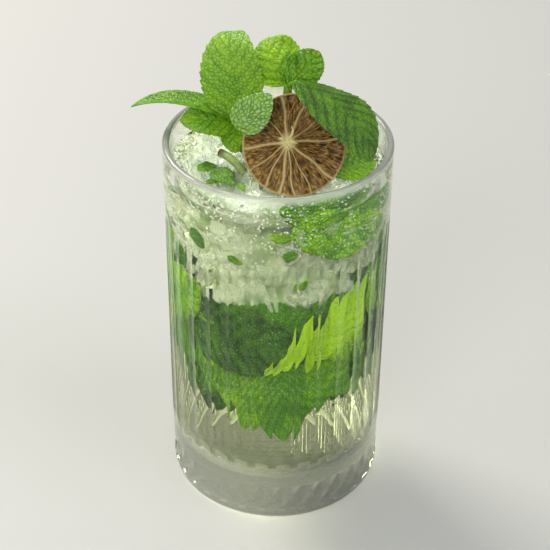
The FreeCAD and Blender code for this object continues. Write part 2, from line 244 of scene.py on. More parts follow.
def buildGlass(material):
    perFlute = glassShape["columnsPerFlute"]
    count = glassShape["fluteCount"] * perFlute
    rows = glassRows()
    points = glassPoints(rows, count)
    faces = []
    for i in range(len(rows) - 1):
        bandRow = rows[i][2] if rows[i + 1][2] is not None else None
        for j in range(count):
            a, b = i * count + j, i * count + (j + 1) % count
            c, d = b + count, a + count
            if bandRow is None:
                faces.append((a, b, c, d))
            elif (j - bandRow) % perFlute in (0, perFlute // 2):     # creases follow the cuts
                faces += [(a, b, c), (a, c, d)]
            else:
                faces += [(a, b, d), (b, c, d)]
    low, high = len(points), len(points) + 1
    points = np.concatenate([points, [[0, 0, 0], [0, 0, glassShape["baseGlass"]]]])
    last = (len(rows) - 1) * count
    for j in range(count):
        faces.append((low, (j + 1) % count, j))
        faces.append((high, last + j, last + (j + 1) % count))
    return meshObject("tumbler", points, faces, material, smoothAngle=11)


# lets lamp light through to what stands inside
def lampsThrough(tree, shader, share):
    path = node(tree, "ShaderNodeLightPath")
    clear = node(tree, "ShaderNodeBsdfTransparent", {"Color": (share, share, share, 1)})
    return node(tree, "ShaderNodeMixShader", links={
        0: path.outputs["Is Shadow Ray"],
        1: shader.outputs["BSDF"],
        2: clear.outputs["BSDF"],
    })


# pressed soda-lime glass, fire polished: clear and bright, with a faint green where it is thick;
# the lip is partly opaque and near white, a painted highlight that shows as a bright ring
def sodaLimeGlass():
    material = newMaterial("pressedSodaLimeGlass")
    tree = material.node_tree
    place = node(tree, "ShaderNodeTexCoord")
    split = node(tree, "ShaderNodeSeparateXYZ", links={0: place.outputs["Object"]})
    top = glassShape["rimHeight"]
    # lower transmission at the top leaves the lip near white: a painted highlight
    lipPaintedHighlight = node(tree, "ShaderNodeMapRange", {
        "From Min": top - 3.4 * mm, "From Max": top - 1.2 * mm, "To Min": 1.0, "To Max": 0.7},
        {"Value": split.outputs["Z"]})
    glassy = node(tree, "ShaderNodeBsdfPrincipled", {
        "Base Color": lin("F6FBEE"), "Roughness": 0.0, "IOR": 1.52,
        "Specular Tint": lin("C4C4C4")},          # dimmer reflections, as the wall is wet inside
        {"Transmission Weight": lipPaintedHighlight.outputs["Result"]})
    mixed = lampsThrough(tree, glassy, 0.98)
    tint = node(tree, "ShaderNodeVolumeAbsorption", {"Color": lin("C9E0A8"), "Density": 4.5})
    node(tree, "ShaderNodeOutputMaterial", links={
        "Surface": mixed.outputs["Shader"], "Volume": tint.outputs["Volume"]})
    return material


tumbler = buildGlass(sodaLimeGlass())
finishPiece(tumbler, "glass")


# drink

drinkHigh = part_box("drink")[1]
drinkShape = {
    "level": drinkHigh.z,
    "intoWall": 0.12 * mm,       # reaches into the wall, so no air gap shows
    "meniscus": 0.9 * mm,
    "meniscusReach": 1.2 * mm,
    "columns": 192,
}


def buildDrink(material):
    d = drinkShape
    columns, level = d["columns"], d["level"]
    rows = []
    for share in (0.2, 0.4, 0.6, 0.75, 0.85, 0.92, 0.96, 0.98):
        radius = wallRadius(level) * share
        climb = d["meniscus"] * math.exp(-(wallRadius(level) - radius) / d["meniscusReach"])
        rows.append((radius, level - d["meniscus"] + climb))
    rows.append((wallRadius(level) + d["intoWall"], level))
    rows += cavityProfile(level - 0.5 * mm, outwards=d["intoWall"])
    angles = np.linspace(0, 2 * math.pi, columns, endpoint=False)
    points = np.concatenate([
        np.column_stack([r * np.cos(angles), r * np.sin(angles), np.full(columns, z)]) for r, z in rows])
    faces = []
    for i in range(len(rows) - 1):
        for j in range(columns):
            k = (j + 1) % columns
            faces.append((i * columns + j, (i + 1) * columns + j, (i + 1) * columns + k, i * columns + k))
    top, bottom = len(points), len(points) + 1
    floor = glassShape["baseGlass"] - d["intoWall"]
    points = np.concatenate([points, [[0, 0, level - d["meniscus"]], [0, 0, floor]]])
    last = (len(rows) - 1) * columns
    for j in range(columns):
        k = (j + 1) % columns
        faces.append((top, j, k))
        faces.append((bottom, last + k, last + j))
    return meshObject("mojitoLiquid", points, faces, material, smoothAngle=50)


# white rum, lime juice and soda water: clear, thinly tinted green and straw
def limeSoda():
    material = newMaterial("limeSodaWater")
    tree = material.node_tree
    liquid = node(tree, "ShaderNodeBsdfPrincipled", {
        "Base Color": lin("FDFEF6"), "Roughness": 0.0, "IOR": 1.333, "Transmission Weight": 1.0,
        "Specular Tint": lin("303030")})          # against glass it hardly reflects
    mixed = lampsThrough(tree, liquid, 0.99)
    tint = node(tree, "ShaderNodeVolumeAbsorption", {"Color": lin("F2F0AE"), "Density": 8.0})
    node(tree, "ShaderNodeOutputMaterial", links={
        "Surface": mixed.outputs["Shader"], "Volume": tint.outputs["Volume"]})
    return material


liquid = buildDrink(limeSoda())
finishPiece(liquid, "drink")


# mint

def unit(v):
    return v / np.linalg.norm(v)


# both of two directions at right angles, turned in their plane
def turned(first, second, degrees):
    c, s = math.cos(math.radians(degrees)), math.sin(math.radians(degrees))
    return unit(first * c + second * s), unit(second * c - first * s)


# stations along a leaf: share, place, and the directions up from the blade and to its side
def leafSpine(leaf, rows):
    along = unit(np.array(leaf["aim"], float))
    facing = np.array(leaf["facing"], float)
    upper = unit(facing - along * facing.dot(along))
    side = np.cross(along, upper)
    place = np.array(leaf["base"], float)
    step = 1.0 / rows
    stations = []
    for row in range(rows + 1):
        share = row * step
        stations.append((share, place.copy(), upper.copy(), side.copy()))
        middle = share + step / 2
        droop = (leaf["bend"] + 4 * leaf["curl"] * middle ** 3) * step
        along, upper = turned(along, upper, -droop)
        along, side = turned(along, side, leaf.get("sweep", 0) * step)
        upper, side = turned(upper, side, leaf.get("twist", 0) * step)
        place = place + along * leaf["length"] * step
    return stations


# relief of a mint leaf: 0 in the veins, 1 on the puckers between them
def quilting(share, across, pairs, seed):
    out = np.abs(across)
    sideSign = np.where(across < 0, 0.5, 0.0)
    vein = (share - 0.30 * out ** 1.15) * pairs + sideSign + 0.15 * np.sin(7 * share + seed)
    between = np.abs(np.sin(math.pi * vein))
    shift = 0.8 * np.sin(2.3 * np.floor(vein) + seed) + 0.25 * np.sin(9 * share)
    cross = np.abs(np.sin(math.pi * (out * 4.3 + shift)))
    fine = np.abs(np.sin(math.pi * (vein * 2 + out * 2.1 + 0.3 * np.sin(13 * out + seed))))
    midrib = np.clip(out / 0.10, 0, 1)
    pucker = between ** 0.55 * (0.45 + 0.55 * cross ** 0.5) * (0.8 + 0.2 * fine ** 0.6)
    return pucker * midrib ** 0.8


# half width at a share of the length, and how far the teeth stand out there
def leafOutline(share, teeth, toothDepth):
    egg = np.sqrt(share) * (1 - share) ** 0.7 / 0.4475
    saw = (share * teeth) % 1.0
    return egg, toothDepth * (saw - 0.5) * np.minimum(1, egg * 1.6)


# closed blade with a toothed margin: points, faces, relief, and place across and along
def leafMesh(leaf, rows=110, columns=40, thickness=0.38 * mm, stalk=0.7 * mm):
    seed = leaf.get("seed", 1.0)
    tops, bottoms, reliefs, acrossRows, alongRows = [], [], [], [], []
    v = np.linspace(-1, 1, columns + 1)
    fold = math.radians(leaf["fold"])
    for share, place, upper, side in leafSpine(leaf, rows):
        egg, tooth = leafOutline(share, leaf.get("teeth", 13), leaf.get("toothDepth", 0.07))
        half = max(leaf["width"] / 2 * egg, stalk)
        reach = half * (1 + tooth * np.abs(v) ** 5)
        pucker = quilting(share, v, leaf.get("pairs", 7), seed)
        fade = min(1.0, egg * 1.5) * (1 - 0.6 * np.abs(v) ** 6)
        height = leaf.get("relief", 0.55) * mm * (pucker - 0.5) * fade
        lift = np.abs(v) * half * math.sin(fold)
        ripple = leaf["wave"] * mm * np.sin(3 * math.pi * share + np.where(v > 0, 0.6, 2.1))
        lift = lift + ripple * np.abs(v) ** 1.5 * half / leaf["width"] * 2
        crumple = leaf.get("crumple", 0.0) * mm * egg
        folds = np.sin(9.0 * share + 2.2 * v + seed) * np.cos(3.1 * v + 4 * share + seed)
        lift = lift + crumple * folds * np.abs(v)
        points = (place + np.outer(v * reach * math.cos(fold), side)
                  + np.outer(lift + height, upper))
        body = thickness / 2 * (0.35 + 0.65 * (1 - np.abs(v) ** 8))
        midrib = 0.28 * mm * np.exp(-(v * half / (0.5 * mm)) ** 2)
        body = body + midrib * min(1, 2 - 2 * share)
        tops.append(points + np.outer(body * 0.6, upper))
        bottoms.append(points - np.outer(body * 1.4, upper))
        reliefs.append(pucker)
        acrossRows.append(v)
        alongRows.append(np.full(columns + 1, share))
    tops, bottoms = np.concatenate(tops), np.concatenate(bottoms)
    n = len(tops)
    width = columns + 1
    faces = []
    for i in range(rows):
        for j in range(columns):
            a = i * width + j
            faces.append((a, a + 1, a + width + 1, a + width))
            faces.append((n + a, n + a + width, n + a + width + 1, n + a + 1))
    for i in range(rows):
        a, b = i * width, i * width + columns
        faces.append((a, a + width, n + a + width, n + a))
        faces.append((b, n + b, n + b + width, b + width))
    for j in range(columns):
        a, b = j, rows * width + j
        faces.append((a, n + a, n + a + 1, a + 1))
        faces.append((b, b + 1, n + b + 1, n + b))
    given = [np.tile(np.concatenate(values), 2) for values in (reliefs, acrossRows, alongRows)]
    return np.concatenate([tops, bottoms]), faces, *given


# closed round stalk along a few points
def tube(path, radii, around=14):
    path = np.array(path, float)
    points, faces = [], []
    for i, place in enumerate(path):
        ahead = unit(path[min(i + 1, len(path) - 1)] - path[max(i - 1, 0)])
        first = unit(np.cross(ahead, [0.3, 1, 0.1]))
        second = np.cross(ahead, first)
        for k in range(around):
            a = 2 * math.pi * k / around
            points.append(place + radii[i] * (first * math.cos(a) + second * math.sin(a)))
    for i in range(len(path) - 1):
        for k in range(around):
            a, b = i * around + k, i * around + (k + 1) % around
            faces.append((a, b, b + around, a + around))
    low, high = len(points), len(points) + 1
    points += [path[0], path[-1]]
    last = (len(path) - 1) * around
    for k in range(around):
        faces.append((low, (k + 1) % around, k))
        faces.append((high, last + k, last + (k + 1) % around))
    return np.array(points), faces


# parts are (points, faces, values) with values a dictionary of per-point numbers
def joinMeshes(name, parts, material, smoothAngle=None):
    points, faces, start = [], [], 0
    names = sorted({key for part in parts for key in part[2]})
    values = {key: [] for key in names}
    for partPoints, partFaces, attributes in parts:
        points.append(partPoints)
        faces += [tuple(i + start for i in face) for face in partFaces]
        for key in names:
            given = attributes.get(key, 0.0)
            values[key].append(np.broadcast_to(np.asarray(given, float), (len(partPoints),)))
        start += len(partPoints)
    piece = meshObject(name, np.concatenate(points), faces, material, smoothAngle)
    for key in names:
        attribute = piece.data.attributes.new(key, "FLOAT", "POINT")
        attribute.data.foreach_set("value", np.concatenate(values[key]).astype(np.float32))
    recalculate(piece)
    return piece


def recalculate(piece):
    work = bmesh.new()
    work.from_mesh(piece.data)
    bmesh.ops.recalc_face_normals(work, faces=work.faces)
    work.to_mesh(piece.data)
    work.free()


# mint: puckered and softly shiny; painted light makes the puckers yellow green and painted shade darkens the
# net of veins
def mintLeafMaterial(name, deep, middle, bright, shine=0.4, ior=1.45):
    material = newMaterial(name)
    tree = material.node_tree
    place = node(tree, "ShaderNodeTexCoord")
    given = {key: node(tree, "ShaderNodeAttribute", attribute_name=key)
             for key in ("pucker", "tone", "veinAcross", "veinAlong", "midrib", "netDepth", "frost")}
    blade = node(tree, "ShaderNodeCombineXYZ", links={
        0: given["veinAcross"].outputs["Fac"], 1: given["veinAlong"].outputs["Fac"]})
    wobble = node(tree, "ShaderNodeTexNoise", {"Scale": 0.5, "Detail": 1.0}, {"Vector": blade.outputs[0]})
    bent = node(tree, "ShaderNodeVectorMath", {1: (0.9, 0.9, 0.0)}, {
        0: wobble.outputs["Color"], 2: blade.outputs[0]}, operation="MULTIPLY_ADD")
    net = node(tree, "ShaderNodeTexVoronoi", {"Scale": 0.72, "Randomness": 0.9}, {"Vector": bent.outputs[0]},
               feature="DISTANCE_TO_EDGE", voronoi_dimensions="2D")     # cells about 1.4 mm across
    cell = node(tree, "ShaderNodeMapRange", {"From Max": 0.32}, {"Value": net.outputs["Distance"]},
                interpolation_type="SMOOTHSTEP")
    fineNet = node(tree, "ShaderNodeTexVoronoi", {"Scale": 2.1}, {"Vector": bent.outputs[0]},
                   feature="DISTANCE_TO_EDGE", voronoi_dimensions="2D")  # half-millimetre cells
    puffed = node(tree, "ShaderNodeMath", {1: 0.25}, {0: fineNet.outputs["Distance"]}, operation="MULTIPLY")
    height = node(tree, "ShaderNodeMath", links={
        0: cell.outputs["Result"], 1: given["netDepth"].outputs["Fac"], 2: puffed.outputs[0]},
        operation="MULTIPLY_ADD")
    # painted shade in the net of veins, as deep as the net is given
    veinShade = node(tree, "ShaderNodeMath", {1: 0.30}, {0: given["netDepth"].outputs["Fac"]},
                     operation="MULTIPLY")
    blotch = node(tree, "ShaderNodeTexNoise", {"Scale": 150.0, "Detail": 3.0},
                  {"Vector": place.outputs["Object"]})                  # blotches about 6 mm across
    # painted light on the puckers, from the leaf's relief
    puckerPaintedLight = node(tree, "ShaderNodeMath", {1: 0.24}, {0: given["pucker"].outputs["Fac"]},
                      operation="MULTIPLY")
    fromNet = node(tree, "ShaderNodeMath", links={
        0: cell.outputs["Result"], 1: veinShade.outputs[0], 2: puckerPaintedLight.outputs[0]},
        operation="MULTIPLY_ADD")
    blotched = node(tree, "ShaderNodeMath", {1: 0.5}, {
        0: blotch.outputs["Fac"], 2: fromNet.outputs[0]}, operation="MULTIPLY_ADD")
    ribbed = node(tree, "ShaderNodeMath", {1: 0.15}, {
        0: given["midrib"].outputs["Fac"], 2: blotched.outputs[0]}, operation="MULTIPLY_ADD")
    toned = node(tree, "ShaderNodeMath", links={0: ribbed.outputs[0], 1: given["tone"].outputs["Fac"]},
                 operation="ADD")
    green = ramp(tree, toned.outputs[0], [(0.14, lin(deep)), (0.48, lin(middle)), (0.90, lin(bright))])
    # pale green painted highlight on the middles of the vein cells, as much as each leaf is given
    paintedHighlightShare = node(tree, "ShaderNodeMath", links={
        0: given["frost"].outputs["Fac"], 1: cell.outputs["Result"]}, operation="MULTIPLY")
    colour = node(tree, "ShaderNodeMix", {7: lin("A9CF8C")}, {
        0: paintedHighlightShare.outputs[0], 6: green.outputs["Color"]}, data_type="RGBA", clamp_factor=True)
    bump = node(tree, "ShaderNodeBump", {"Strength": 0.75, "Distance": 0.0005}, {"Height": height.outputs[0]})
    leaf = node(tree, "ShaderNodeBsdfPrincipled", {
        "Roughness": shine, "IOR": ior, "Subsurface Weight": 0.22, "Subsurface Scale": 0.0012,
        "Subsurface Radius": (0.6, 1.0, 0.12)},
        {"Base Color": colour.outputs[2], "Normal": bump.outputs["Normal"]})
    node(tree, "ShaderNodeOutputMaterial", links={"Surface": leaf.outputs["BSDF"]})
    return material


mintShape = {
    "uprightKnob": (-13.5 * mm, 2 * mm, 146 * mm),
    "drapedKnob": (3 * mm, 1 * mm, 160 * mm),
    "stemRadius": 1.35 * mm,
    "stemEnd": 124 * mm,
    "stalkRadii": [0.9 * mm, 0.8 * mm, 0.75 * mm, 0.72 * mm, 0.7 * mm, 0.7 * mm, 0.6 * mm],
}
# base from the knob and sizes in mm; bend, curl, sweep, twist and fold in degrees
uprightLeaves = [
    dict(base=(0, 0, 0), aim=(-0.15, 0.05, 1), facing=(-0.15, -1, 0.1), length=35.0, width=21.5,
         bend=5, curl=116, sweep=3, fold=8, wave=0.6, tone=0.14, pairs=8, relief=0.55, net=0.5,
         frost=0.2, seed=1.0),
    dict(base=(0, 0, 0), aim=(-1, 0.25, 0.47), facing=(0.3, -0.1, 1), length=39.5, width=11,
         bend=46, curl=8, fold=20, wave=0.2, tone=-0.02, pairs=8, relief=0.4, net=0.35, seed=2.0),
    dict(base=(0, 0, 0), aim=(-1, -0.25, 0.22), facing=(0, -0.8, 1), length=20, width=13,
         bend=15, curl=20, fold=10, wave=0.3, tone=0.06, pairs=6, relief=0.45, net=0.45, seed=3.0),
    dict(base=(0, 0, 0), aim=(-0.15, -0.7, -0.15), facing=(-0.6, -0.8, 0.6), length=13, width=11,
         bend=30, curl=20, fold=15, wave=0.2, tone=0.0, pairs=5, relief=0.5, net=0.8, seed=4.0),
    dict(base=(-0.1, -17.6, 7.2), aim=(0.62, -0.16, 0.76), facing=(0.12, -0.9, 0.5), length=17, width=12.5,
         bend=8, curl=24, fold=12, wave=0.3, tone=0.14, pairs=5, relief=0.7, net=1.0, frost=1.0, seed=5.0),
]
drapedLeaves = [
    dict(base=(0, 0.6, 0), aim=(-0.48, 0.62, 0.8), facing=(0.1, -1, 0.5), length=19.5, width=18.5,
         bend=15, curl=40, fold=8, wave=1.3, tone=0.22, pairs=6, relief=0.8, net=0.5, crumple=0.9, seed=6.0),
    dict(base=(0, 0, 0), aim=(0.75, 0.3, 0.75), facing=(0, -1, 0.5), length=16.5, width=13,
         bend=25, curl=30, fold=8, wave=1.0, tone=-0.02, pairs=5, relief=0.8, net=0.5, crumple=1.2, seed=7.0),
    dict(base=(2.9, -5.5, 4.5), aim=(0.65, -0.41, 0), facing=(0.92, -0.22, 1), length=39.5, width=25.9,
         bend=56.7, curl=32.2, sweep=-8, twist=24, fold=-5, wave=0.6, tone=-0.2, pairs=8, relief=0.45,
         net=0.4, seed=8.0),
]


# per-point values that the leaf finish reads; the vein net runs in millimetres over the blade
def leafValues(leaf, relief, across, along, number, tone):
    egg = np.sqrt(along) * (1 - along) ** 0.7 / 0.4475
    return {
        "pucker": relief,
        "tone": tone,
        "veinAcross": across * egg * leaf["width"] / 2 / mm + 31.7 * number,
        "veinAlong": along * leaf["length"] / mm - 3.5 * np.abs(across) * egg,
        "midrib": np.exp(-(across * egg * leaf["width"] / mm / 1.1) ** 2),
        "netDepth": leaf.get("net", 0.5),
        # share of pale painted highlight on the vein cells
        "frost": leaf.get("frost", 0.0),
    }


def leafPart(leaf, knob, number):
    placed = dict(leaf)
    placed["base"] = np.array(knob) + np.array(leaf["base"]) * mm
    placed["length"] = leaf["length"] * mm
    placed["width"] = leaf["width"] * mm
    points, faces, relief, across, along = leafMesh(placed)
    return points, faces, leafValues(placed, relief, across, along, number, leaf.get("tone", 0.0))


def buildSprig(name, knob, leaves, material):
    knob = np.array(knob)
    parts = [leafPart(leaf, knob, i) for i, leaf in enumerate(leaves)]
    path = [(knob[0], knob[1], z) for z in np.linspace(mintShape["stemEnd"], knob[2] + 0.8 * mm, 8)]
    radii = [mintShape["stemRadius"]] * 6 + [mintShape["stemRadius"] * 1.25, mintShape["stemRadius"] * 0.9]
    stalks = [tube(path, radii)]
    for leaf in leaves:
        start = np.array(leaf["base"]) * mm
        if np.linalg.norm(start) > 1 * mm:
            stalks.append(tube([knob + start * share for share in np.linspace(0, 1.02, 7)],
                               mintShape["stalkRadii"]))
    for points, faces in stalks:
        parts.append((points, faces, {"pucker": 0.5, "tone": 0.1}))
    return joinMeshes(name, parts, material)


freshMint = mintLeafMaterial("freshMintLeaf", "2C5002", "669C04", "A4CE0C")
uprightSprig = buildSprig("uprightMintSprig", mintShape["uprightKnob"], uprightLeaves, freshMint)
finishPiece(uprightSprig, "mint_sprig_upright")
drapedSprig = buildSprig("drapedMintSprig", mintShape["drapedKnob"], drapedLeaves, freshMint)
finishPiece(drapedSprig, "mint_sprig_draped")


# muddled mint in the glass

muddledMint = {
    "wallGap": 1.1 * mm,
    "ceiling": -1.6 * mm,          # from the drink's level
    "lidCeiling": 5.6 * mm,
    "seed": 11,
    "backLeaves": 26,
    "innerLeaves": 22,
    # angle from the front in degrees, level, depth behind the wall, tilt, length, width, tone, crumple
    "frontLeaves": [
        (-24, 77, 4.0, -8, 44, 30, -0.2, 1.6),
        (-50, 68, 4.6, -42, 36, 26, 0.0, 1.6),
        (-72, 86, 2.6, 35, 30, 22, 0.12, 1.4),
        (-88, 70, 3.0, -60, 34, 24, -0.04, 1.4),
        (-38, 60, 5.0, -70, 30, 16, 0.1, 1.6),
        (-12, 60, 6.0, -78, 34, 20, -0.1, 1.6),
        (-4, 84, 6.0, 14, 32, 22, -0.08, 1.6),
        (3, 50, 3.6, -84, 34, 20, 0.0, 1.6),
        (-16, 52, 5.4, -98, 32, 16, 0.1, 1.6),
        (24, 58, 4.6, 24, 42, 24, 0.02, 2.0),
        (46, 83, 3.4, 44, 36, 19, 0.34, 2.8),
        (62, 74, 4.6, -24, 34, 26, 0.14, 2.0),
        (48, 60, 5.6, -62, 34, 22, 0.04, 1.6),
        (16, 79, 3.0, 68, 22, 6, 0.55, 2.6),
        (8, 71, 3.4, 40, 20, 5, 0.5, 2.6),
        (23, 73, 3.8, 80, 18, 5, 0.45, 2.6),
        (82, 60, 4.6, -75, 34, 24, -0.1, 1.4),
        (84, 90, 2.4, 70, 28, 20, 0.1, 1.0),
        (30, 69, 8.6, 20, 30, 22, -0.26, 1.2),
    ],
    "lidLeaves": [                 # high in the ice, up to the lip
        (40, 121, 1.4, -17, 40, 19, 0.1, 1.6),
        (33, 130.5, 2.2, -9, 38, 13, 0.0, 1.6),
        (58, 127.5, 2.4, -14, 34, 15, -0.05, 0.8),
    ],
    "bits": [                      # torn pieces, a few millimetres across
        (-46, 117, 0.2, -40, 8, 5.5, -0.1), (7, 117, 0.2, 20, 5, 4, 0.0), (-22, 113.5, 0.4, -10, 6, 3, 0.0),
        (3, 124, 0.6, 0, 8, 4, 0.1), (66, 118, 0.3, 70, 6, 4, 0.0), (73, 111, 0.2, 80, 8, 4, -0.1),
        (79, 103, 0.2, 80, 7, 3.5, -0.1), (-63, 104, 0.2, -60, 10, 6, -0.1), (-77, 108, 0.3, 60, 9, 6, 0.1),
        (120, 112, 0.4, 30, 7, 5, 0.0), (165, 119, 0.3, -30, 6, 4, -0.1), (205, 110, 0.3, 50, 8, 5, 0.0),
        (245, 121, 0.4, 10, 6, 4, 0.1), (282, 114, 0.3, -60, 7, 5, -0.1), (14, 104, 1.0, 40, 5, 3, 0.1),
    ],
}


# a leaf laid round the inside of the wall
def wallLeaf(angle, level, depth, tilt, length, width, tone, crumple, seed, detail=1.0,
             ceiling=muddledMint["ceiling"]):
    flat = dict(base=(-length / 2 * mm, 0, 0), aim=(1, 0, 0), facing=(0, 0, 1), length=length * mm,
                width=width * mm, bend=0, curl=0, fold=0, wave=0.0, crumple=crumple, seed=seed,
                relief=0.7, teeth=12)
    points, faces, relief, across, along = leafMesh(
        flat, rows=int(50 * detail), columns=int(16 * detail), stalk=0.4 * mm)
    c, s = math.cos(math.radians(tilt)), math.sin(math.radians(tilt))
    x = points[:, 0] * c - points[:, 1] * s
    z = level * mm + points[:, 0] * s + points[:, 1] * c
    z = np.clip(z, glassShape["baseGlass"] + 3 * mm, drinkShape["level"] + ceiling)
    radius = wallRadius(z) - muddledMint["wallGap"] - depth * mm
    around = math.radians(angle) + x / radius
    radius = np.minimum(radius + points[:, 2], wallRadius(z) - 0.35 * mm)
    placed = np.column_stack([radius * np.sin(around), -radius * np.cos(around), z])
    return placed, faces, leafValues(flat, relief, across, along, seed, tone)


def buildMuddledMint(material):
    m = muddledMint
    rng = np.random.default_rng(m["seed"])
    parts = []
    placed = [(leaf, m["ceiling"]) for leaf in m["frontLeaves"]]
    placed += [(leaf, m["lidCeiling"]) for leaf in m["lidLeaves"]]
    for i, (leaf, ceiling) in enumerate(placed):
        parts.append(wallLeaf(*leaf, seed=1.7 * i, ceiling=ceiling))
    for i in range(m["backLeaves"]):
        angle = 98 + 164 * (i + 0.5) / m["backLeaves"] + rng.uniform(-6, 6)
        parts.append(wallLeaf(
            angle, rng.uniform(48, 92), rng.uniform(0, 3), rng.uniform(-90, 90), rng.uniform(26, 40),
            rng.uniform(18, 27), rng.uniform(-0.3, 0.15), crumple=1.3, seed=i + 40.0))
    for i in range(m["innerLeaves"]):
        angle = 360 * i / m["innerLeaves"] + rng.uniform(-8, 8)
        parts.append(wallLeaf(
            angle, rng.uniform(50, 86), rng.uniform(6, 11), rng.uniform(-90, 90), rng.uniform(24, 34),
            rng.uniform(18, 26), rng.uniform(-0.3, 0.15), crumple=2.0, seed=i + 80.0, detail=0.6))
    return joinMeshes("muddledMintLeaves", parts, material)


def buildMintBits(material):
    bits = muddledMint["bits"]
    parts = [wallLeaf(*bit, crumple=0.3, seed=3.1 * i, detail=0.5) for i, bit in enumerate(bits)]
    return joinMeshes("tornMintBits", parts, material)


# low gloss, because water round a leaf takes most of its shine
wetMint = mintLeafMaterial("wetMuddledMintLeaf", "163802", "528C02", "B4E00C", shine=0.5, ior=1.15)
sunkLeaves = buildMuddledMint(wetMint)
finishPiece(sunkLeaves)
sunkBits = buildMintBits(wetMint)
finishPiece(sunkBits)


# ice and bubbles

iceShape = {
    "seed": 5,
    "shapes": 10,
    "cornerBevel": 0.06,                # of the lump
    "sunkLumps": 230,
    "sunkFrom": 93 * mm,
    "sunkTo": 130 * mm,
    "sunkSize": (2.6 * mm, 5.4 * mm),   # half length
    "topLumps": 210,
    "topSize": (2.0 * mm, 4.4 * mm),
    "coreRadius": 22 * mm,
    "coreFrom": 44 * mm,
    "coreTo": 128 * mm,
    "coreUneven": 2.4 * mm,
    "heapInset": 5.5 * mm,              # core of the heap, from the wall
    "heapBelow": 5 * mm,                # and under the drink's level
    "heapSink": 3.4 * mm,               # and under the top of the heap
    "heapUneven": 1.8 * mm,
    "wallClearance": 0.3 * mm,
    "goldenShare": 0.61803,             # spreads the lumps evenly round
}


# angular splinters, about one unit in radius
def iceShapes(rng):
    shapes = []
    for _ in range(iceShape["shapes"]):
        work = bmesh.new()
        for _ in range(rng.integers(9, 14)):
            direction = unit(rng.normal(size=3))
            work.verts.new(direction * rng.uniform(0.75, 1.0))
        bmesh.ops.convex_hull(work, input=work.verts)
        loose = [v for v in work.verts if not v.link_faces]
        bmesh.ops.delete(work, geom=loose, context="VERTS")
        bmesh.ops.bevel(work, geom=list(work.edges), offset=iceShape["cornerBevel"], segments=1,
                        affect="EDGES", profile=0.5)
        bmesh.ops.triangulate(work, faces=work.faces)
        work.verts.index_update()
        points = np.array([v.co[:] for v in work.verts])
        faces = [tuple(v.index for v in f.verts) for f in work.faces]
        shapes.append((points, faces))
        work.free()
    return shapes


# one splinter, stretched and turned at random
def placedLump(rng, shapes, place, size, flatness=(0.55, 1.0)):
    points, faces = shapes[rng.integers(len(shapes))]
    stretch = np.array([1.0, rng.uniform(*flatness), rng.uniform(*flatness)])
    turn, _ = np.linalg.qr(rng.normal(size=(3, 3)))
    if np.linalg.det(turn) < 0:
        turn[:, 0] *= -1
    return (points * stretch * size) @ turn.T + np.array(place), faces


def sunkIce(material):
    s = iceShape
    rng = np.random.default_rng(s["seed"])
    shapes = iceShapes(rng)
    parts = []
    for i in range(s["sunkLumps"]):
        size = rng.uniform(*s["sunkSize"])
        z = rng.uniform(s["sunkFrom"], s["sunkTo"] - size)
        radius = wallRadius(z) - size * 0.75 - s["wallClearance"] - abs(rng.normal(0, 2.4 * mm))
        angle = 2 * math.pi * (i * s["goldenShare"] % 1)
        place = (radius * math.sin(angle), -radius * math.cos(angle), z)
        points, faces = placedLump(rng, shapes, place, size)
        out = np.hypot(points[:, 0], points[:, 1])
        inside = np.minimum(1, (wallRadius(points[:, 2]) - 0.25 * mm) / out)
        points[:, :2] *= inside[:, None]
        points[:, 2] = np.minimum(points[:, 2], drinkShape["level"] - 1.2 * mm)
        parts.append((points, faces, {"tone": rng.uniform(0, 1)}))
    return joinMeshes("sunkCrushedIce", parts, material, smoothAngle=20)


# quads of a grid that closes on itself round the glass
def ringFaces(rows, columns):
    faces = []
    for i in range(rows):
        for j in range(columns):
            k = (j + 1) % columns
            faces.append((i * columns + j, i * columns + k, (i + 1) * columns + k, (i + 1) * columns + j))
    return faces


# lumpy column in the middle of the glass, rounded at both ends
def sunkCore(material):
    s = iceShape
    rows, columns = 56, 96
    radius, low, high = s["coreRadius"], s["coreFrom"], s["coreTo"]
    points = []
    for i in range(rows + 1):
        share = i / rows
        z = low + (high - low) * share
        shrink = min(1.0, (min(share, 1 - share) * rows / 7)) ** 0.5
        for j in range(columns):
            a = 2 * math.pi * j / columns
            direction = Vector((math.cos(a), math.sin(a), 0))
            spot = Vector((direction.x * radius, direction.y * radius, z))
            bulge = noise.noise(spot * 210) * 1.6 + noise.noise(spot * 600) * 0.6
            r = (radius + s["coreUneven"] * bulge) * max(shrink, 0.02)
            points.append((r * math.cos(a), r * math.sin(a), z))
    faces = ringFaces(rows, columns)
    faces.append(tuple(range(columns))[::-1])
    faces.append(tuple(rows * columns + j for j in range(columns)))
    return meshObject("packedIceCore", points, faces, material)


# wet crushed ice: mostly clear, a little milky with trapped air, with a crackled skin;
# its IOR is between that against air and that against water
def crackedIce(name, milk, roughness, clear):
    material = newMaterial(name)
    tree = material.node_tree
    place = node(tree, "ShaderNodeTexCoord")
    cracks = node(tree, "ShaderNodeTexVoronoi", {"Scale": 700.0}, {"Vector": place.outputs["Object"]},
                  feature="DISTANCE_TO_EDGE")              # cracks about 1.4 mm apart
    bump = node(tree, "ShaderNodeBump", {"Strength": 0.5, "Distance": 0.0004},
                {"Height": cracks.outputs["Distance"]})
    icy = node(tree, "ShaderNodeBsdfPrincipled", {
        "Base Color": lin(milk), "Roughness": roughness, "IOR": 1.2, "Transmission Weight": clear},
        {"Normal": bump.outputs["Normal"]})
    mixed = lampsThrough(tree, icy, 0.97)
    node(tree, "ShaderNodeOutputMaterial", links={"Surface": mixed.outputs["Shader"]})
    return material


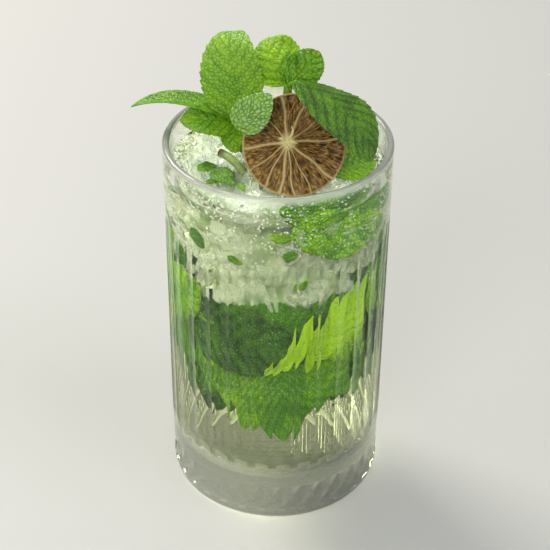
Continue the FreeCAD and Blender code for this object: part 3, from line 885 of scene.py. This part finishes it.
# fine crushed ice packed like snow: milky white, green where the mint's colour comes through
def packedIce():
    material = newMaterial("packedCrushedIce")
    tree = material.node_tree
    place = node(tree, "ShaderNodeTexCoord")
    grains = node(tree, "ShaderNodeTexVoronoi", {"Scale": 420.0},
                  {"Vector": place.outputs["Object"]})               # grains about 2.4 mm across
    drift = node(tree, "ShaderNodeTexNoise", {"Scale": 90.0, "Detail": 4.0},
                 {"Vector": place.outputs["Object"]})                # patches about 11 mm across
    colour = ramp(tree, drift.outputs["Fac"], [(0.35, lin("A4BA88")), (0.65, lin("EAEEE2"))])
    bump = node(tree, "ShaderNodeBump", {"Strength": 0.7, "Distance": 0.0008},
                {"Height": grains.outputs["Distance"]})
    snow = node(tree, "ShaderNodeBsdfPrincipled", {
        "Roughness": 0.3, "IOR": 1.31, "Subsurface Weight": 0.35, "Subsurface Scale": 0.003,
        "Subsurface Radius": (1.0, 1.0, 1.0)},
        {"Base Color": colour.outputs["Color"], "Normal": bump.outputs["Normal"]})
    node(tree, "ShaderNodeOutputMaterial", links={"Surface": snow.outputs["BSDF"]})
    return material


packedIceFinish = packedIce()
iceCore = sunkCore(packedIceFinish)
finishPiece(iceCore)
sunkLumps = sunkIce(crackedIce("sunkCrackedIce", "EEF2E6", 0.14, 0.82))
finishPiece(sunkLumps)


# height of the heaped ice over the drink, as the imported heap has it
def heapHeight(x, y):
    x, y = x / mm, y / mm
    mound = 3.6 * np.exp(-((x + 3) ** 2 + (y + 2) ** 2) / 2 / 13 ** 2)
    lumps = 0.8 * np.sin(0.62 * x + 1.3 * np.sin(0.31 * y)) * np.cos(0.55 * y + 0.9 * np.sin(0.27 * x))
    return drinkShape["level"] + (3.4 + mound + lumps) * mm


# mound under the loose lumps
def heapCore(material):
    rings, columns = 26, 96
    reach = wallRadius(drinkShape["level"]) - iceShape["heapInset"]
    low = drinkShape["level"] - iceShape["heapBelow"]
    points, faces = [(0, 0, 0), (0, 0, low)], []
    for i in range(1, rings + 1):
        for j in range(columns):
            a = 2 * math.pi * j / columns
            points.append((reach * i / rings * math.cos(a), reach * i / rings * math.sin(a), 0))
    for j in range(columns):
        a = 2 * math.pi * j / columns
        points.append((reach * math.cos(a), reach * math.sin(a), low))
    points = np.array(points)
    x, y = points[:, 0], points[:, 1]
    ragged = np.array([noise.noise(Vector((px, py, 0)) * 260) for px, py in zip(x, y)])
    top = heapHeight(x, y) - iceShape["heapSink"] + ragged * iceShape["heapUneven"]
    keep = np.arange(len(points)) < 2 + rings * columns
    keep[1] = False
    points[keep, 2] = top[keep]
    for j in range(columns):
        k = (j + 1) % columns
        faces.append((0, 2 + j, 2 + k))
        faces.append((1, 2 + rings * columns + k, 2 + rings * columns + j))
        for i in range(rings):
            a, b = 2 + i * columns + j, 2 + i * columns + k
            faces.append((a, a + columns, b + columns, b))
    piece = meshObject("heapedIceCore", points, faces, material)
    recalculate(piece)
    return piece


def heapedIce(material):
    s = iceShape
    rng = np.random.default_rng(s["seed"] + 1)
    shapes = iceShapes(rng)
    parts = []
    for i in range(s["topLumps"]):
        size = rng.uniform(*s["topSize"])
        angle = 2 * math.pi * (i * s["goldenShare"] % 1)
        radius = (wallRadius(drinkShape["level"]) - size * 0.9) * math.sqrt((i + 0.5) / s["topLumps"])
        x, y = radius * math.sin(angle), radius * math.cos(angle)
        top = float(heapHeight(x, y))
        points, faces = placedLump(rng, shapes, (x, y, top - size * 0.75), size, flatness=(0.35, 0.9))
        points[:, 2] = np.minimum(points[:, 2], heapHeight(points[:, 0], points[:, 1]) + 0.4 * mm)
        out = np.hypot(points[:, 0], points[:, 1])
        inside = np.minimum(1, (wallRadius(points[:, 2]) - s["wallClearance"]) / out)
        points[:, :2] *= inside[:, None]
        parts.append((points, faces, {"tone": rng.uniform(0, 1)}))
    return joinMeshes("heapedCrushedIce", parts, material, smoothAngle=20)


heapInside = heapCore(packedIceFinish)
finishPiece(heapInside, "crushed_ice")
topLumps = heapedIce(crackedIce("wetCrackedIce", "F6FAF2", 0.08, 0.95))
finishPiece(topLumps, "crushed_ice")


# small spheres scattered over a surface, for air bubbles
def bubbleTree(name):
    tree = bpy.data.node_groups.new(name, "GeometryNodeTree")
    face = tree.interface
    face.new_socket("Geometry", in_out="INPUT", socket_type="NodeSocketGeometry")
    for label, value in (("Per Square Metre", 400000.0), ("Smallest", 0.0002), ("Largest", 0.0006),
                         ("Patch Scale", 90.0), ("Depth", 0.003)):
        face.new_socket(label, in_out="INPUT", socket_type="NodeSocketFloat").default_value = value
    face.new_socket("Seed", in_out="INPUT", socket_type="NodeSocketInt").default_value = 3
    face.new_socket("Material", in_out="INPUT", socket_type="NodeSocketMaterial")
    face.new_socket("Geometry", in_out="OUTPUT", socket_type="NodeSocketGeometry")
    given = node(tree, "NodeGroupInput")
    seed = given.outputs["Seed"]
    patches = node(tree, "ShaderNodeTexNoise", {"Detail": 2.0}, {"Scale": given.outputs["Patch Scale"]})
    thin = node(tree, "ShaderNodeMapRange", {"From Min": 0.42, "From Max": 0.62},
                {"Value": patches.outputs["Fac"]})
    density = node(tree, "ShaderNodeMath", links={
        0: thin.outputs["Result"], 1: given.outputs["Per Square Metre"]}, operation="MULTIPLY")
    points = node(tree, "GeometryNodeDistributePointsOnFaces", links={
        "Mesh": given.outputs["Geometry"], "Density": density.outputs[0], "Seed": seed})
    deep = node(tree, "FunctionNodeRandomValue", {2: 0.0}, {3: given.outputs["Depth"], "Seed": seed},
                data_type="FLOAT")
    outward = node(tree, "ShaderNodeVectorMath", links={
        0: points.outputs["Normal"], "Scale": deep.outputs[1]}, operation="SCALE")
    inward = node(tree, "ShaderNodeVectorMath", {"Scale": -1.0}, {0: outward.outputs[0]}, operation="SCALE")
    moved = node(tree, "GeometryNodeSetPosition", links={
        "Geometry": points.outputs["Points"], "Offset": inward.outputs[0]})
    bead = node(tree, "GeometryNodeMeshIcoSphere", {"Radius": 1.0, "Subdivisions": 2})
    size = node(tree, "FunctionNodeRandomValue", links={
        2: given.outputs["Smallest"], 3: given.outputs["Largest"], "Seed": seed}, data_type="FLOAT")
    placed = node(tree, "GeometryNodeInstanceOnPoints", links={
        "Points": moved.outputs["Geometry"], "Instance": bead.outputs["Mesh"], "Scale": size.outputs[1]})
    real = node(tree, "GeometryNodeRealizeInstances", links={"Geometry": placed.outputs["Instances"]})
    smooth = node(tree, "GeometryNodeSetShadeSmooth", links={"Geometry": real.outputs["Geometry"]})
    painted = node(tree, "GeometryNodeSetMaterial", links={
        "Geometry": smooth.outputs["Geometry"], "Material": given.outputs["Material"]})
    node(tree, "NodeGroupOutput", links={"Geometry": painted.outputs["Geometry"]})
    return tree


# runs a tree on a carrier mesh and keeps the result as a plain mesh
def grow(name, carrier, tree, inputs):
    modifier = carrier.modifiers.new("grow", "NODES")
    modifier.node_group = tree
    for item in tree.interface.items_tree:
        if item.item_type == "SOCKET" and item.in_out == "INPUT" and item.name in inputs:
            modifier[item.identifier] = inputs[item.name]
    evaluated = carrier.evaluated_get(bpy.context.evaluated_depsgraph_get())
    mesh = bpy.data.meshes.new_from_object(evaluated)
    mesh.name = name
    piece = bpy.data.objects.new(name, mesh)
    scene.collection.objects.link(piece)
    carrier.modifiers.remove(modifier)
    bpy.data.objects.remove(carrier)
    return piece


# band just inside the wall that the bubbles are scattered on
def wallBand(low, high, gap):
    columns, rows = 96, 12
    points = []
    for i in range(rows + 1):
        z = low + (high - low) * i / rows
        for j in range(columns):
            a = 2 * math.pi * j / columns
            r = wallRadius(z) - gap
            points.append((r * math.cos(a), r * math.sin(a), z))
    return meshObject("bubbleCarrier", points, ringFaces(rows, columns), None)


# air in the drink: bright rims round clear middles
def airBubble():
    material = newMaterial("airBubble")
    tree = material.node_tree
    air = node(tree, "ShaderNodeBsdfPrincipled", {
        "Base Color": lin("FFFFFF"), "Roughness": 0.03, "IOR": 1.33, "Transmission Weight": 0.75})
    mixed = lampsThrough(tree, air, 0.98)
    node(tree, "ShaderNodeOutputMaterial", links={"Surface": mixed.outputs["Shader"]})
    return material


bubbleShape = {
    "frothBubbles": {
        "band": (111 * mm, 137 * mm, 0.7 * mm),      # from, to, gap to the wall
        "inputs": {"Per Square Metre": 700000.0, "Smallest": 0.14 * mm, "Largest": 0.45 * mm,
                   "Patch Scale": 110.0, "Depth": 1.6 * mm, "Seed": 3},
    },
    "fizzBubbles": {
        "band": (50 * mm, 112 * mm, 0.6 * mm),
        "inputs": {"Per Square Metre": 90000.0, "Smallest": 0.12 * mm, "Largest": 0.3 * mm,
                   "Patch Scale": 70.0, "Depth": 3 * mm, "Seed": 8},
    },
}
bubbleFinish = airBubble()
bubbles = bubbleTree("airBubbles")
for name, kind in bubbleShape.items():
    inputs = dict(kind["inputs"], Material=bubbleFinish)
    finishPiece(grow(name, wallBand(*kind["band"]), bubbles, inputs))


# cut stalk end and herb bits lying on the ice

stubShape = {
    "path": [(-19.4, -6.0, 138.2), (-16.8, -8.6, 138.3), (-14.0, -11.3, 137.3),
             (-11.2, -14.0, 135.4)],    # mm
    "radius": 1.45 * mm,
    "taper": (0.97, 1.0, 1.0, 0.85),
    # angle from the front in degrees, distance from the axis, length, width, turn, tone
    "looseBits": [
        (-66, 29.5, 7, 4.5, 20, -0.05), (-58, 25.5, 11, 7.5, -50, -0.12), (-42, 25, 6, 3, 70, -0.05),
        (-50, 31, 4, 2.5, 10, -0.1), (-24, 27, 5, 2.5, 120, 0.0), (150, 24, 8, 5, 40, -0.2),
        (205, 27, 6, 4, -20, -0.1), (110, 30, 5, 3, 80, 0.0), (245, 22, 7, 4, 130, -0.2),
    ],
}


def buildStub(material):
    s = stubShape
    path = [np.array(place) * mm for place in s["path"]]
    points, faces = tube(path, [s["radius"] * share for share in s["taper"]], around=20)
    browned = np.clip(1 - (points[:, 0] / mm + 19.6) / 1.3, 0, 1)
    return joinMeshes("cutMintStalk", [(points, faces, {"browned": browned})], material)


def buildLooseBits(material):
    parts = []
    for i, (angle, radius, length, width, turn, tone) in enumerate(stubShape["looseBits"]):
        x = radius * mm * math.sin(math.radians(angle))
        y = -radius * mm * math.cos(math.radians(angle))
        aim = (math.cos(math.radians(turn)), math.sin(math.radians(turn)), 0.12)
        z = float(heapHeight(x, y)) - 0.4 * mm
        leaf = dict(base=(x, y, z), aim=aim, facing=(0, -0.3, 1), net=0.4, length=length * mm,
                    width=width * mm, bend=12, curl=10, fold=8, wave=0.2, crumple=0.4, seed=i * 1.3,
                    relief=0.4, teeth=6)
        points, meshFaces, relief, across, along = leafMesh(leaf, rows=24, columns=10, stalk=0.3 * mm)
        parts.append((points, meshFaces, leafValues(leaf, relief, across, along, i, tone)))
    return joinMeshes("looseMintBits", parts, material)


# cut mint stalk: pale, waxy and faintly ribbed, browned where it was cut
def stalkMaterial():
    material = newMaterial("cutMintStalk")
    tree = material.node_tree
    place = node(tree, "ShaderNodeTexCoord")
    browned = node(tree, "ShaderNodeAttribute", attribute_name="browned")
    ribs = node(tree, "ShaderNodeTexNoise", {"Scale": 500.0, "Detail": 3.0},
                {"Vector": place.outputs["Object"]})                 # ribs about 2 mm apart
    green = ramp(tree, ribs.outputs["Fac"], [(0.3, lin("86A648")), (0.7, lin("BFD084"))])
    mixed = node(tree, "ShaderNodeMix", {7: lin("6E4A28")}, {
        0: browned.outputs["Fac"], 6: green.outputs["Color"]}, data_type="RGBA")
    bump = node(tree, "ShaderNodeBump", {"Strength": 0.4, "Distance": 0.0003},
                {"Height": ribs.outputs["Fac"]})
    stalk = node(tree, "ShaderNodeBsdfPrincipled", {
        "Roughness": 0.35, "Subsurface Weight": 0.2, "Subsurface Scale": 0.001},
        {"Base Color": mixed.outputs[2], "Normal": bump.outputs["Normal"]})
    node(tree, "ShaderNodeOutputMaterial", links={"Surface": stalk.outputs["BSDF"]})
    return material


stub = buildStub(stalkMaterial())
finishPiece(stub)
looseBits = buildLooseBits(freshMint)
finishPiece(looseBits)


# leaf lying loose on the ice

restingLeafShape = dict(base=(17 * mm, -16 * mm, 0), aim=(1, 0.35, 0.2), facing=(0, -0.4, 1),
                        length=17.1 * mm, width=14 * mm, bend=20, curl=0, fold=8, wave=0.3, seed=9.0,
                        relief=0.5, teeth=11, tone=0.05)


def buildRestingLeaf(material):
    leaf = restingLeafShape
    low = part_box("mint_leaf_resting")[0]
    points, faces, relief, across, along = leafMesh(leaf, rows=72, columns=30)
    points[:, 2] += low.z + 0.1 * mm - points[:, 2].min()
    values = leafValues(leaf, relief, across, along, 9, leaf["tone"])
    return joinMeshes("restingMintLeaf", [(points, faces, values)], material)


restingLeaf = buildRestingLeaf(freshMint)
finishPiece(restingLeaf, "mint_leaf_resting")


# dried lime wheel

limeShape = {
    "radius": 17.1 * mm,
    "thickness": 4 * mm,
    "centre": (5.3 * mm, -15.45 * mm, 146.81 * mm),
    "lean": 30,                       # degrees back from upright
    "core": (-2.2 * mm, 1.0 * mm),    # grown off centre
    "membranes": (-172, -141, -118, -97, -83, -64, -38, 4, 36, 66, 97, 131),   # degrees
    "recess": 0.85 * mm,
    "rind": 0.9 * mm,
    "seed": 21,
    # curled ends of the dried core: across, up and out of the face from the core, in mm
    "coreFibres": [
        [(0.4, 1.2, 0), (1.5, 2.6, 0.9), (1.9, 4.2, 1.2), (1.2, 5.3, 0.8)],
        [(-0.6, -0.4, 0), (0.1, -1.8, 0.7), (0.5, -2.8, 0.4)],
        [(0.8, 0.2, 0), (2.4, 0.0, 0.7), (3.4, -0.5, 0.2)],
        [(-0.8, 0.6, 0), (-2.2, 1.3, 0.6), (-3.2, 1.2, 0.1)],
    ],
}


# relief and colour shares of one face, at places across the wheel
def limeFace(x, y, seed):
    s = limeShape
    dx, dy = x - s["core"][0], y - s["core"][1]
    reach = np.hypot(dx, dy)
    around = np.degrees(np.arctan2(dy, dx))
    outer = np.hypot(x, y)
    membrane = np.zeros_like(x)
    for i, angle in enumerate(s["membranes"]):
        wander = 1.6 * np.sin(reach / (2.1 * mm) + i * 2.3 + seed)
        apart = (around - angle - wander + 180) % 360 - 180
        away = np.radians(np.abs(apart)) * np.maximum(reach, 0.8 * mm)
        width = (0.30 + 0.16 * math.sin(i * 1.9 + seed)) * mm
        membrane = np.maximum(membrane, np.exp(-(away / width) ** 2) * (np.abs(apart) < 60))
    fibre = np.empty_like(x)
    streak = np.empty_like(x)
    for i in range(len(x)):
        fibre[i] = noise.noise(Vector((around[i] * 0.33, reach[i] / mm * 0.30, seed)))
        streak[i] = noise.noise(Vector((around[i] * 0.85, reach[i] / mm * 0.55, seed + 7)))
    fibre = 1 - np.abs(fibre) * 2.2
    rind = np.clip((outer - (s["radius"] - s["rind"])) / (0.5 * mm), 0, 1)
    core = np.clip(1.3 - reach / (2.7 * mm) + 0.35 * streak, 0, 1)
    flesh = (1 - membrane) * (1 - rind) * (1 - core)
    sag = np.clip((s["radius"] - outer) / (4 * mm), 0, 1) * np.clip(reach / (6 * mm), 0, 1)
    threads = fibre * 0.42 * mm + streak * 0.35 * mm
    height = -flesh * (s["recess"] * (0.35 + 0.65 * sag) - threads)
    height += membrane * (1 - rind) * (-0.25 * mm) + core * (0.35 + 0.5 * streak) * mm
    height -= 0.25 * mm * np.clip((outer - s["radius"] + 0.5 * mm) / (0.5 * mm), 0, 1)
    # the last share is the flesh's tone: light on the raised threads and dark between them, partly its own
    # amber and partly painted highlight and painted shade
    return height, membrane, rind, core, np.clip(0.5 + fibre * 0.35 + streak * 0.5, 0, 1)


def buildLime(material):
    s = limeShape
    rings, columns = 72, 300
    lean = math.radians(s["lean"])
    across = np.array([1.0, 0, 0])
    up = np.array([0, math.sin(lean), math.cos(lean)])
    out = np.array([0, -math.cos(lean), math.sin(lean)])
    centre = np.array(s["centre"])
    a = np.linspace(0, 2 * math.pi, columns, endpoint=False)
    edge = s["radius"] - 0.12 * mm + 0.12 * mm * np.sin(5 * a + 1) * np.cos(3 * a)
    radii = [(i / rings) ** 0.9 for i in range(1, rings + 1)]
    x = np.concatenate([[0]] + [edge * r * np.cos(a) for r in radii])
    y = np.concatenate([[0]] + [edge * r * np.sin(a) for r in radii])
    sides = []
    for direction, seed in ((1, s["seed"]), (-1, s["seed"] + 3)):
        height, membrane, rind, core, fibre = limeFace(x, y, seed)
        level = direction * (s["thickness"] / 2 + np.minimum(height, 0.0))
        points = centre + np.outer(x, across) + np.outer(y, up) + np.outer(level, out)
        sides.append((points, membrane, rind, core, fibre))
    n = len(x)
    faces = []
    for side in (0, 1):
        start = side * n
        for j in range(columns):
            k = (j + 1) % columns
            faces.append((start, start + 1 + j, start + 1 + k))
            for i in range(rings - 1):
                p, q = start + 1 + i * columns + j, start + 1 + i * columns + k
                faces.append((p, p + columns, q + columns, q))
    skin = []                     # waist of the rind between the two faces
    steps = 9
    last = 1 + (rings - 1) * columns
    for i in range(1, steps):
        share = i / steps
        level = (s["thickness"] / 2 - 0.3 * mm) * (1 - 2 * share)
        skin.append(centre + np.outer(edge * np.cos(a), across) + np.outer(edge * np.sin(a), up)
                    + np.outer(np.full(columns, level), out))
    rows = [last + np.arange(columns)]
    for i in range(steps - 1):
        rows.append(2 * n + i * columns + np.arange(columns))
    rows.append(n + last + np.arange(columns))
    for first, second in zip(rows, rows[1:]):
        for j in range(columns):
            k = (j + 1) % columns
            faces.append((int(first[j]), int(second[j]), int(second[k]), int(first[k])))
    points = np.concatenate([sides[0][0], sides[1][0]] + skin)
    extra = (steps - 1) * columns
    values = {
        "membrane": np.concatenate([sides[0][1], sides[1][1], np.zeros(extra)]),
        "rind": np.concatenate([sides[0][2], sides[1][2], np.ones(extra)]),
        "core": np.concatenate([sides[0][3], sides[1][3], np.zeros(extra)]),
        "pulp": np.concatenate([sides[0][4], sides[1][4], np.zeros(extra)]),
        "peel": np.concatenate([np.zeros(2 * n), np.ones(extra)]),
    }
    parts = [(points, faces, values)]
    for line in s["coreFibres"]:
        path = []
        for fx, fy, rise in line:
            path.append(centre + across * (s["core"][0] + fx * mm) + up * (s["core"][1] + fy * mm)
                        + out * (s["thickness"] / 2 - 0.5 * mm + rise * mm * 0.7))
        radii = [0.55 * mm] + [0.42 * mm] * (len(path) - 2) + [0.18 * mm]
        tubePoints, tubeFaces = tube(path, radii, around=8)
        parts.append((tubePoints, tubeFaces, {"core": 1.0}))
    return joinMeshes("driedLimeWheel", parts, material)


# dried lime: amber flesh in shrunken threads, painted highlight on the threads and painted shade between
# them, straw membranes, leathery olive peel
def driedLime():
    material = newMaterial("driedLimeFlesh")
    tree = material.node_tree
    place = node(tree, "ShaderNodeTexCoord")
    shares = {key: node(tree, "ShaderNodeAttribute", attribute_name=key)
              for key in ("membrane", "rind", "core", "pulp", "peel")}
    grain = node(tree, "ShaderNodeTexNoise", {"Scale": 900.0, "Detail": 4.0},
                 {"Vector": place.outputs["Object"]})                # dried grain about 1 mm across
    mottle = node(tree, "ShaderNodeMath", {1: 0.5}, {0: grain.outputs["Fac"]}, operation="MULTIPLY")
    threads = node(tree, "ShaderNodeMath", {1: -0.25}, {0: mottle.outputs[0]}, operation="ADD")
    toned = node(tree, "ShaderNodeMath", links={0: shares["pulp"].outputs["Fac"], 1: threads.outputs[0]},
                 operation="ADD")
    # flesh near black in the recesses and golden on the threads: partly its own colour, partly painted shade
    # and painted highlight
    flesh = ramp(tree, toned.outputs[0], [
        (0.15, lin("1E1002")), (0.48, lin("4C3204")), (0.76, lin("7E580C")), (1.0, lin("B8923E"))])
    straw = node(tree, "ShaderNodeMix", {7: lin("CDB67A")}, {
        0: shares["membrane"].outputs["Fac"], 6: flesh.outputs["Color"]}, data_type="RGBA")
    cored = node(tree, "ShaderNodeMix", {7: lin("EADB92")}, {
        0: shares["core"].outputs["Fac"], 6: straw.outputs[2]}, data_type="RGBA")
    pith = node(tree, "ShaderNodeMix", {7: lin("B79F5C")}, {
        0: shares["rind"].outputs["Fac"], 6: cored.outputs[2]}, data_type="RGBA")
    skin = node(tree, "ShaderNodeTexNoise", {"Scale": 350.0, "Detail": 3.0},
                {"Vector": place.outputs["Object"]})                 # mottling about 3 mm across
    peel = ramp(tree, skin.outputs["Fac"], [(0.35, lin("27360A")), (0.7, lin("5A641C"))])
    coloured = node(tree, "ShaderNodeMix", links={
        0: shares["peel"].outputs["Fac"], 6: pith.outputs[2], 7: peel.outputs["Color"]}, data_type="RGBA")
    bump = node(tree, "ShaderNodeBump", {"Strength": 0.6, "Distance": 0.0004},
                {"Height": grain.outputs["Fac"]})
    dried = node(tree, "ShaderNodeBsdfPrincipled", {
        "Roughness": 0.38, "IOR": 1.45, "Subsurface Weight": 0.1, "Subsurface Scale": 0.001},
        {"Base Color": coloured.outputs[2], "Normal": bump.outputs["Normal"]})
    node(tree, "ShaderNodeOutputMaterial", links={"Surface": dried.outputs["BSDF"]})
    return material


limeWheel = buildLime(driedLime())
finishPiece(limeWheel, "lime_wheel")


# floor, light and camera

stageShape = {
    "floorHalf": 3.0,
    "floorColour": "BDBDB9",
    "roomStrength": 0.68,
    "lamps": [          # name, place, height aimed at, side, watts, colour
        ("windowLight", (-0.70, 0.75, 0.95), 0.08, 0.55, 16, "FFFAF2"),
        ("fillLight", (0.95, -0.35, 0.75), 0.1, 0.7, 5, "F6F8FF"),
        ("frontLight", (-0.45, -0.95, 0.75), 0.1, 0.5, 4.5, "FFFFFF"),
    ],
    "lens": 96.24,
    "shift": -0.00343,
    "cameraPlace": (0, -0.43434, 0.39073),
    "cameraPitch": 0.6154,      # radians below level
    "cameraRoll": 0.0095,       # radians, a trace of tilt
    "bounces": 48,              # so that light finds its way out of the glass
}


# matt studio board: plain and pale
def buildFloor():
    half = stageShape["floorHalf"]
    material = newMaterial("paleFloor")
    tree = material.node_tree
    matt = node(tree, "ShaderNodeBsdfPrincipled", {
        "Base Color": lin(stageShape["floorColour"]), "Roughness": 0.55})
    node(tree, "ShaderNodeOutputMaterial", links={"Surface": matt.outputs["BSDF"]})
    corners = [(-half, -half, 0), (half, -half, 0), (half, half, 0), (-half, half, 0)]
    return meshObject("floor", corners, [(0, 1, 2, 3)], material)


def addLamp(name, place, aimHeight, side, watts, colour):
    lamp = bpy.data.lights.new(name, "AREA")
    lamp.shape = "SQUARE"
    lamp.size = side
    lamp.energy = watts
    lamp.color = lin(colour)[:3]
    holder = bpy.data.objects.new(name, lamp)
    scene.collection.objects.link(holder)
    holder.location = place
    towards = Vector((0, 0, aimHeight)) - Vector(place)
    holder.rotation_euler = towards.to_track_quat("-Z", "Y").to_euler()


# soft room: bright overhead, dimmer towards the horizon, so that the cut glass has edges
def buildRoom():
    world = bpy.data.worlds.new("softRoom")
    scene.world = world
    world.use_nodes = True
    tree = world.node_tree
    tree.nodes.clear()
    towards = node(tree, "ShaderNodeTexCoord")
    split = node(tree, "ShaderNodeSeparateXYZ", links={0: towards.outputs["Generated"]})
    height = node(tree, "ShaderNodeMapRange", {"From Min": 0.0, "From Max": 0.9},
                  {"Value": split.outputs["Z"]})
    sky = ramp(tree, height.outputs["Result"], [
        (0.0, lin("8C8E8C")), (0.25, lin("B0B2B0")), (0.6, lin("DADCDA")), (1.0, lin("FFFFFF"))])
    glow = node(tree, "ShaderNodeBackground", {"Strength": stageShape["roomStrength"]},
                {"Color": sky.outputs["Color"]})
    node(tree, "ShaderNodeOutputWorld", links={"Surface": glow.outputs["Background"]})


def addCamera():
    data = bpy.data.cameras.new("camera")
    data.lens = stageShape["lens"]
    data.sensor_width = 36
    data.shift_x = stageShape["shift"]
    camera = bpy.data.objects.new("camera", data)
    scene.collection.objects.link(camera)
    pitch, roll = stageShape["cameraPitch"], stageShape["cameraRoll"]
    forward = Vector((0, math.cos(pitch), -math.sin(pitch)))
    right, up = Vector((1, 0, 0)), Vector((0, math.sin(pitch), math.cos(pitch)))
    rolledRight = math.cos(roll) * right + math.sin(roll) * up
    rolledUp = math.cos(roll) * up - math.sin(roll) * right
    turn = Matrix((rolledRight, rolledUp, -forward)).transposed().to_4x4()
    camera.matrix_world = Matrix.Translation(stageShape["cameraPlace"]) @ turn
    scene.camera = camera


buildFloor()
for lamp in stageShape["lamps"]:
    addLamp(*lamp)
buildRoom()
addCamera()
scene.view_settings.view_transform = "Standard"
scene.cycles.use_denoising = True
scene.cycles.max_bounces = stageShape["bounces"]
scene.cycles.transmission_bounces = stageShape["bounces"]
scene.cycles.transparent_max_bounces = stageShape["bounces"]
print("stage set")
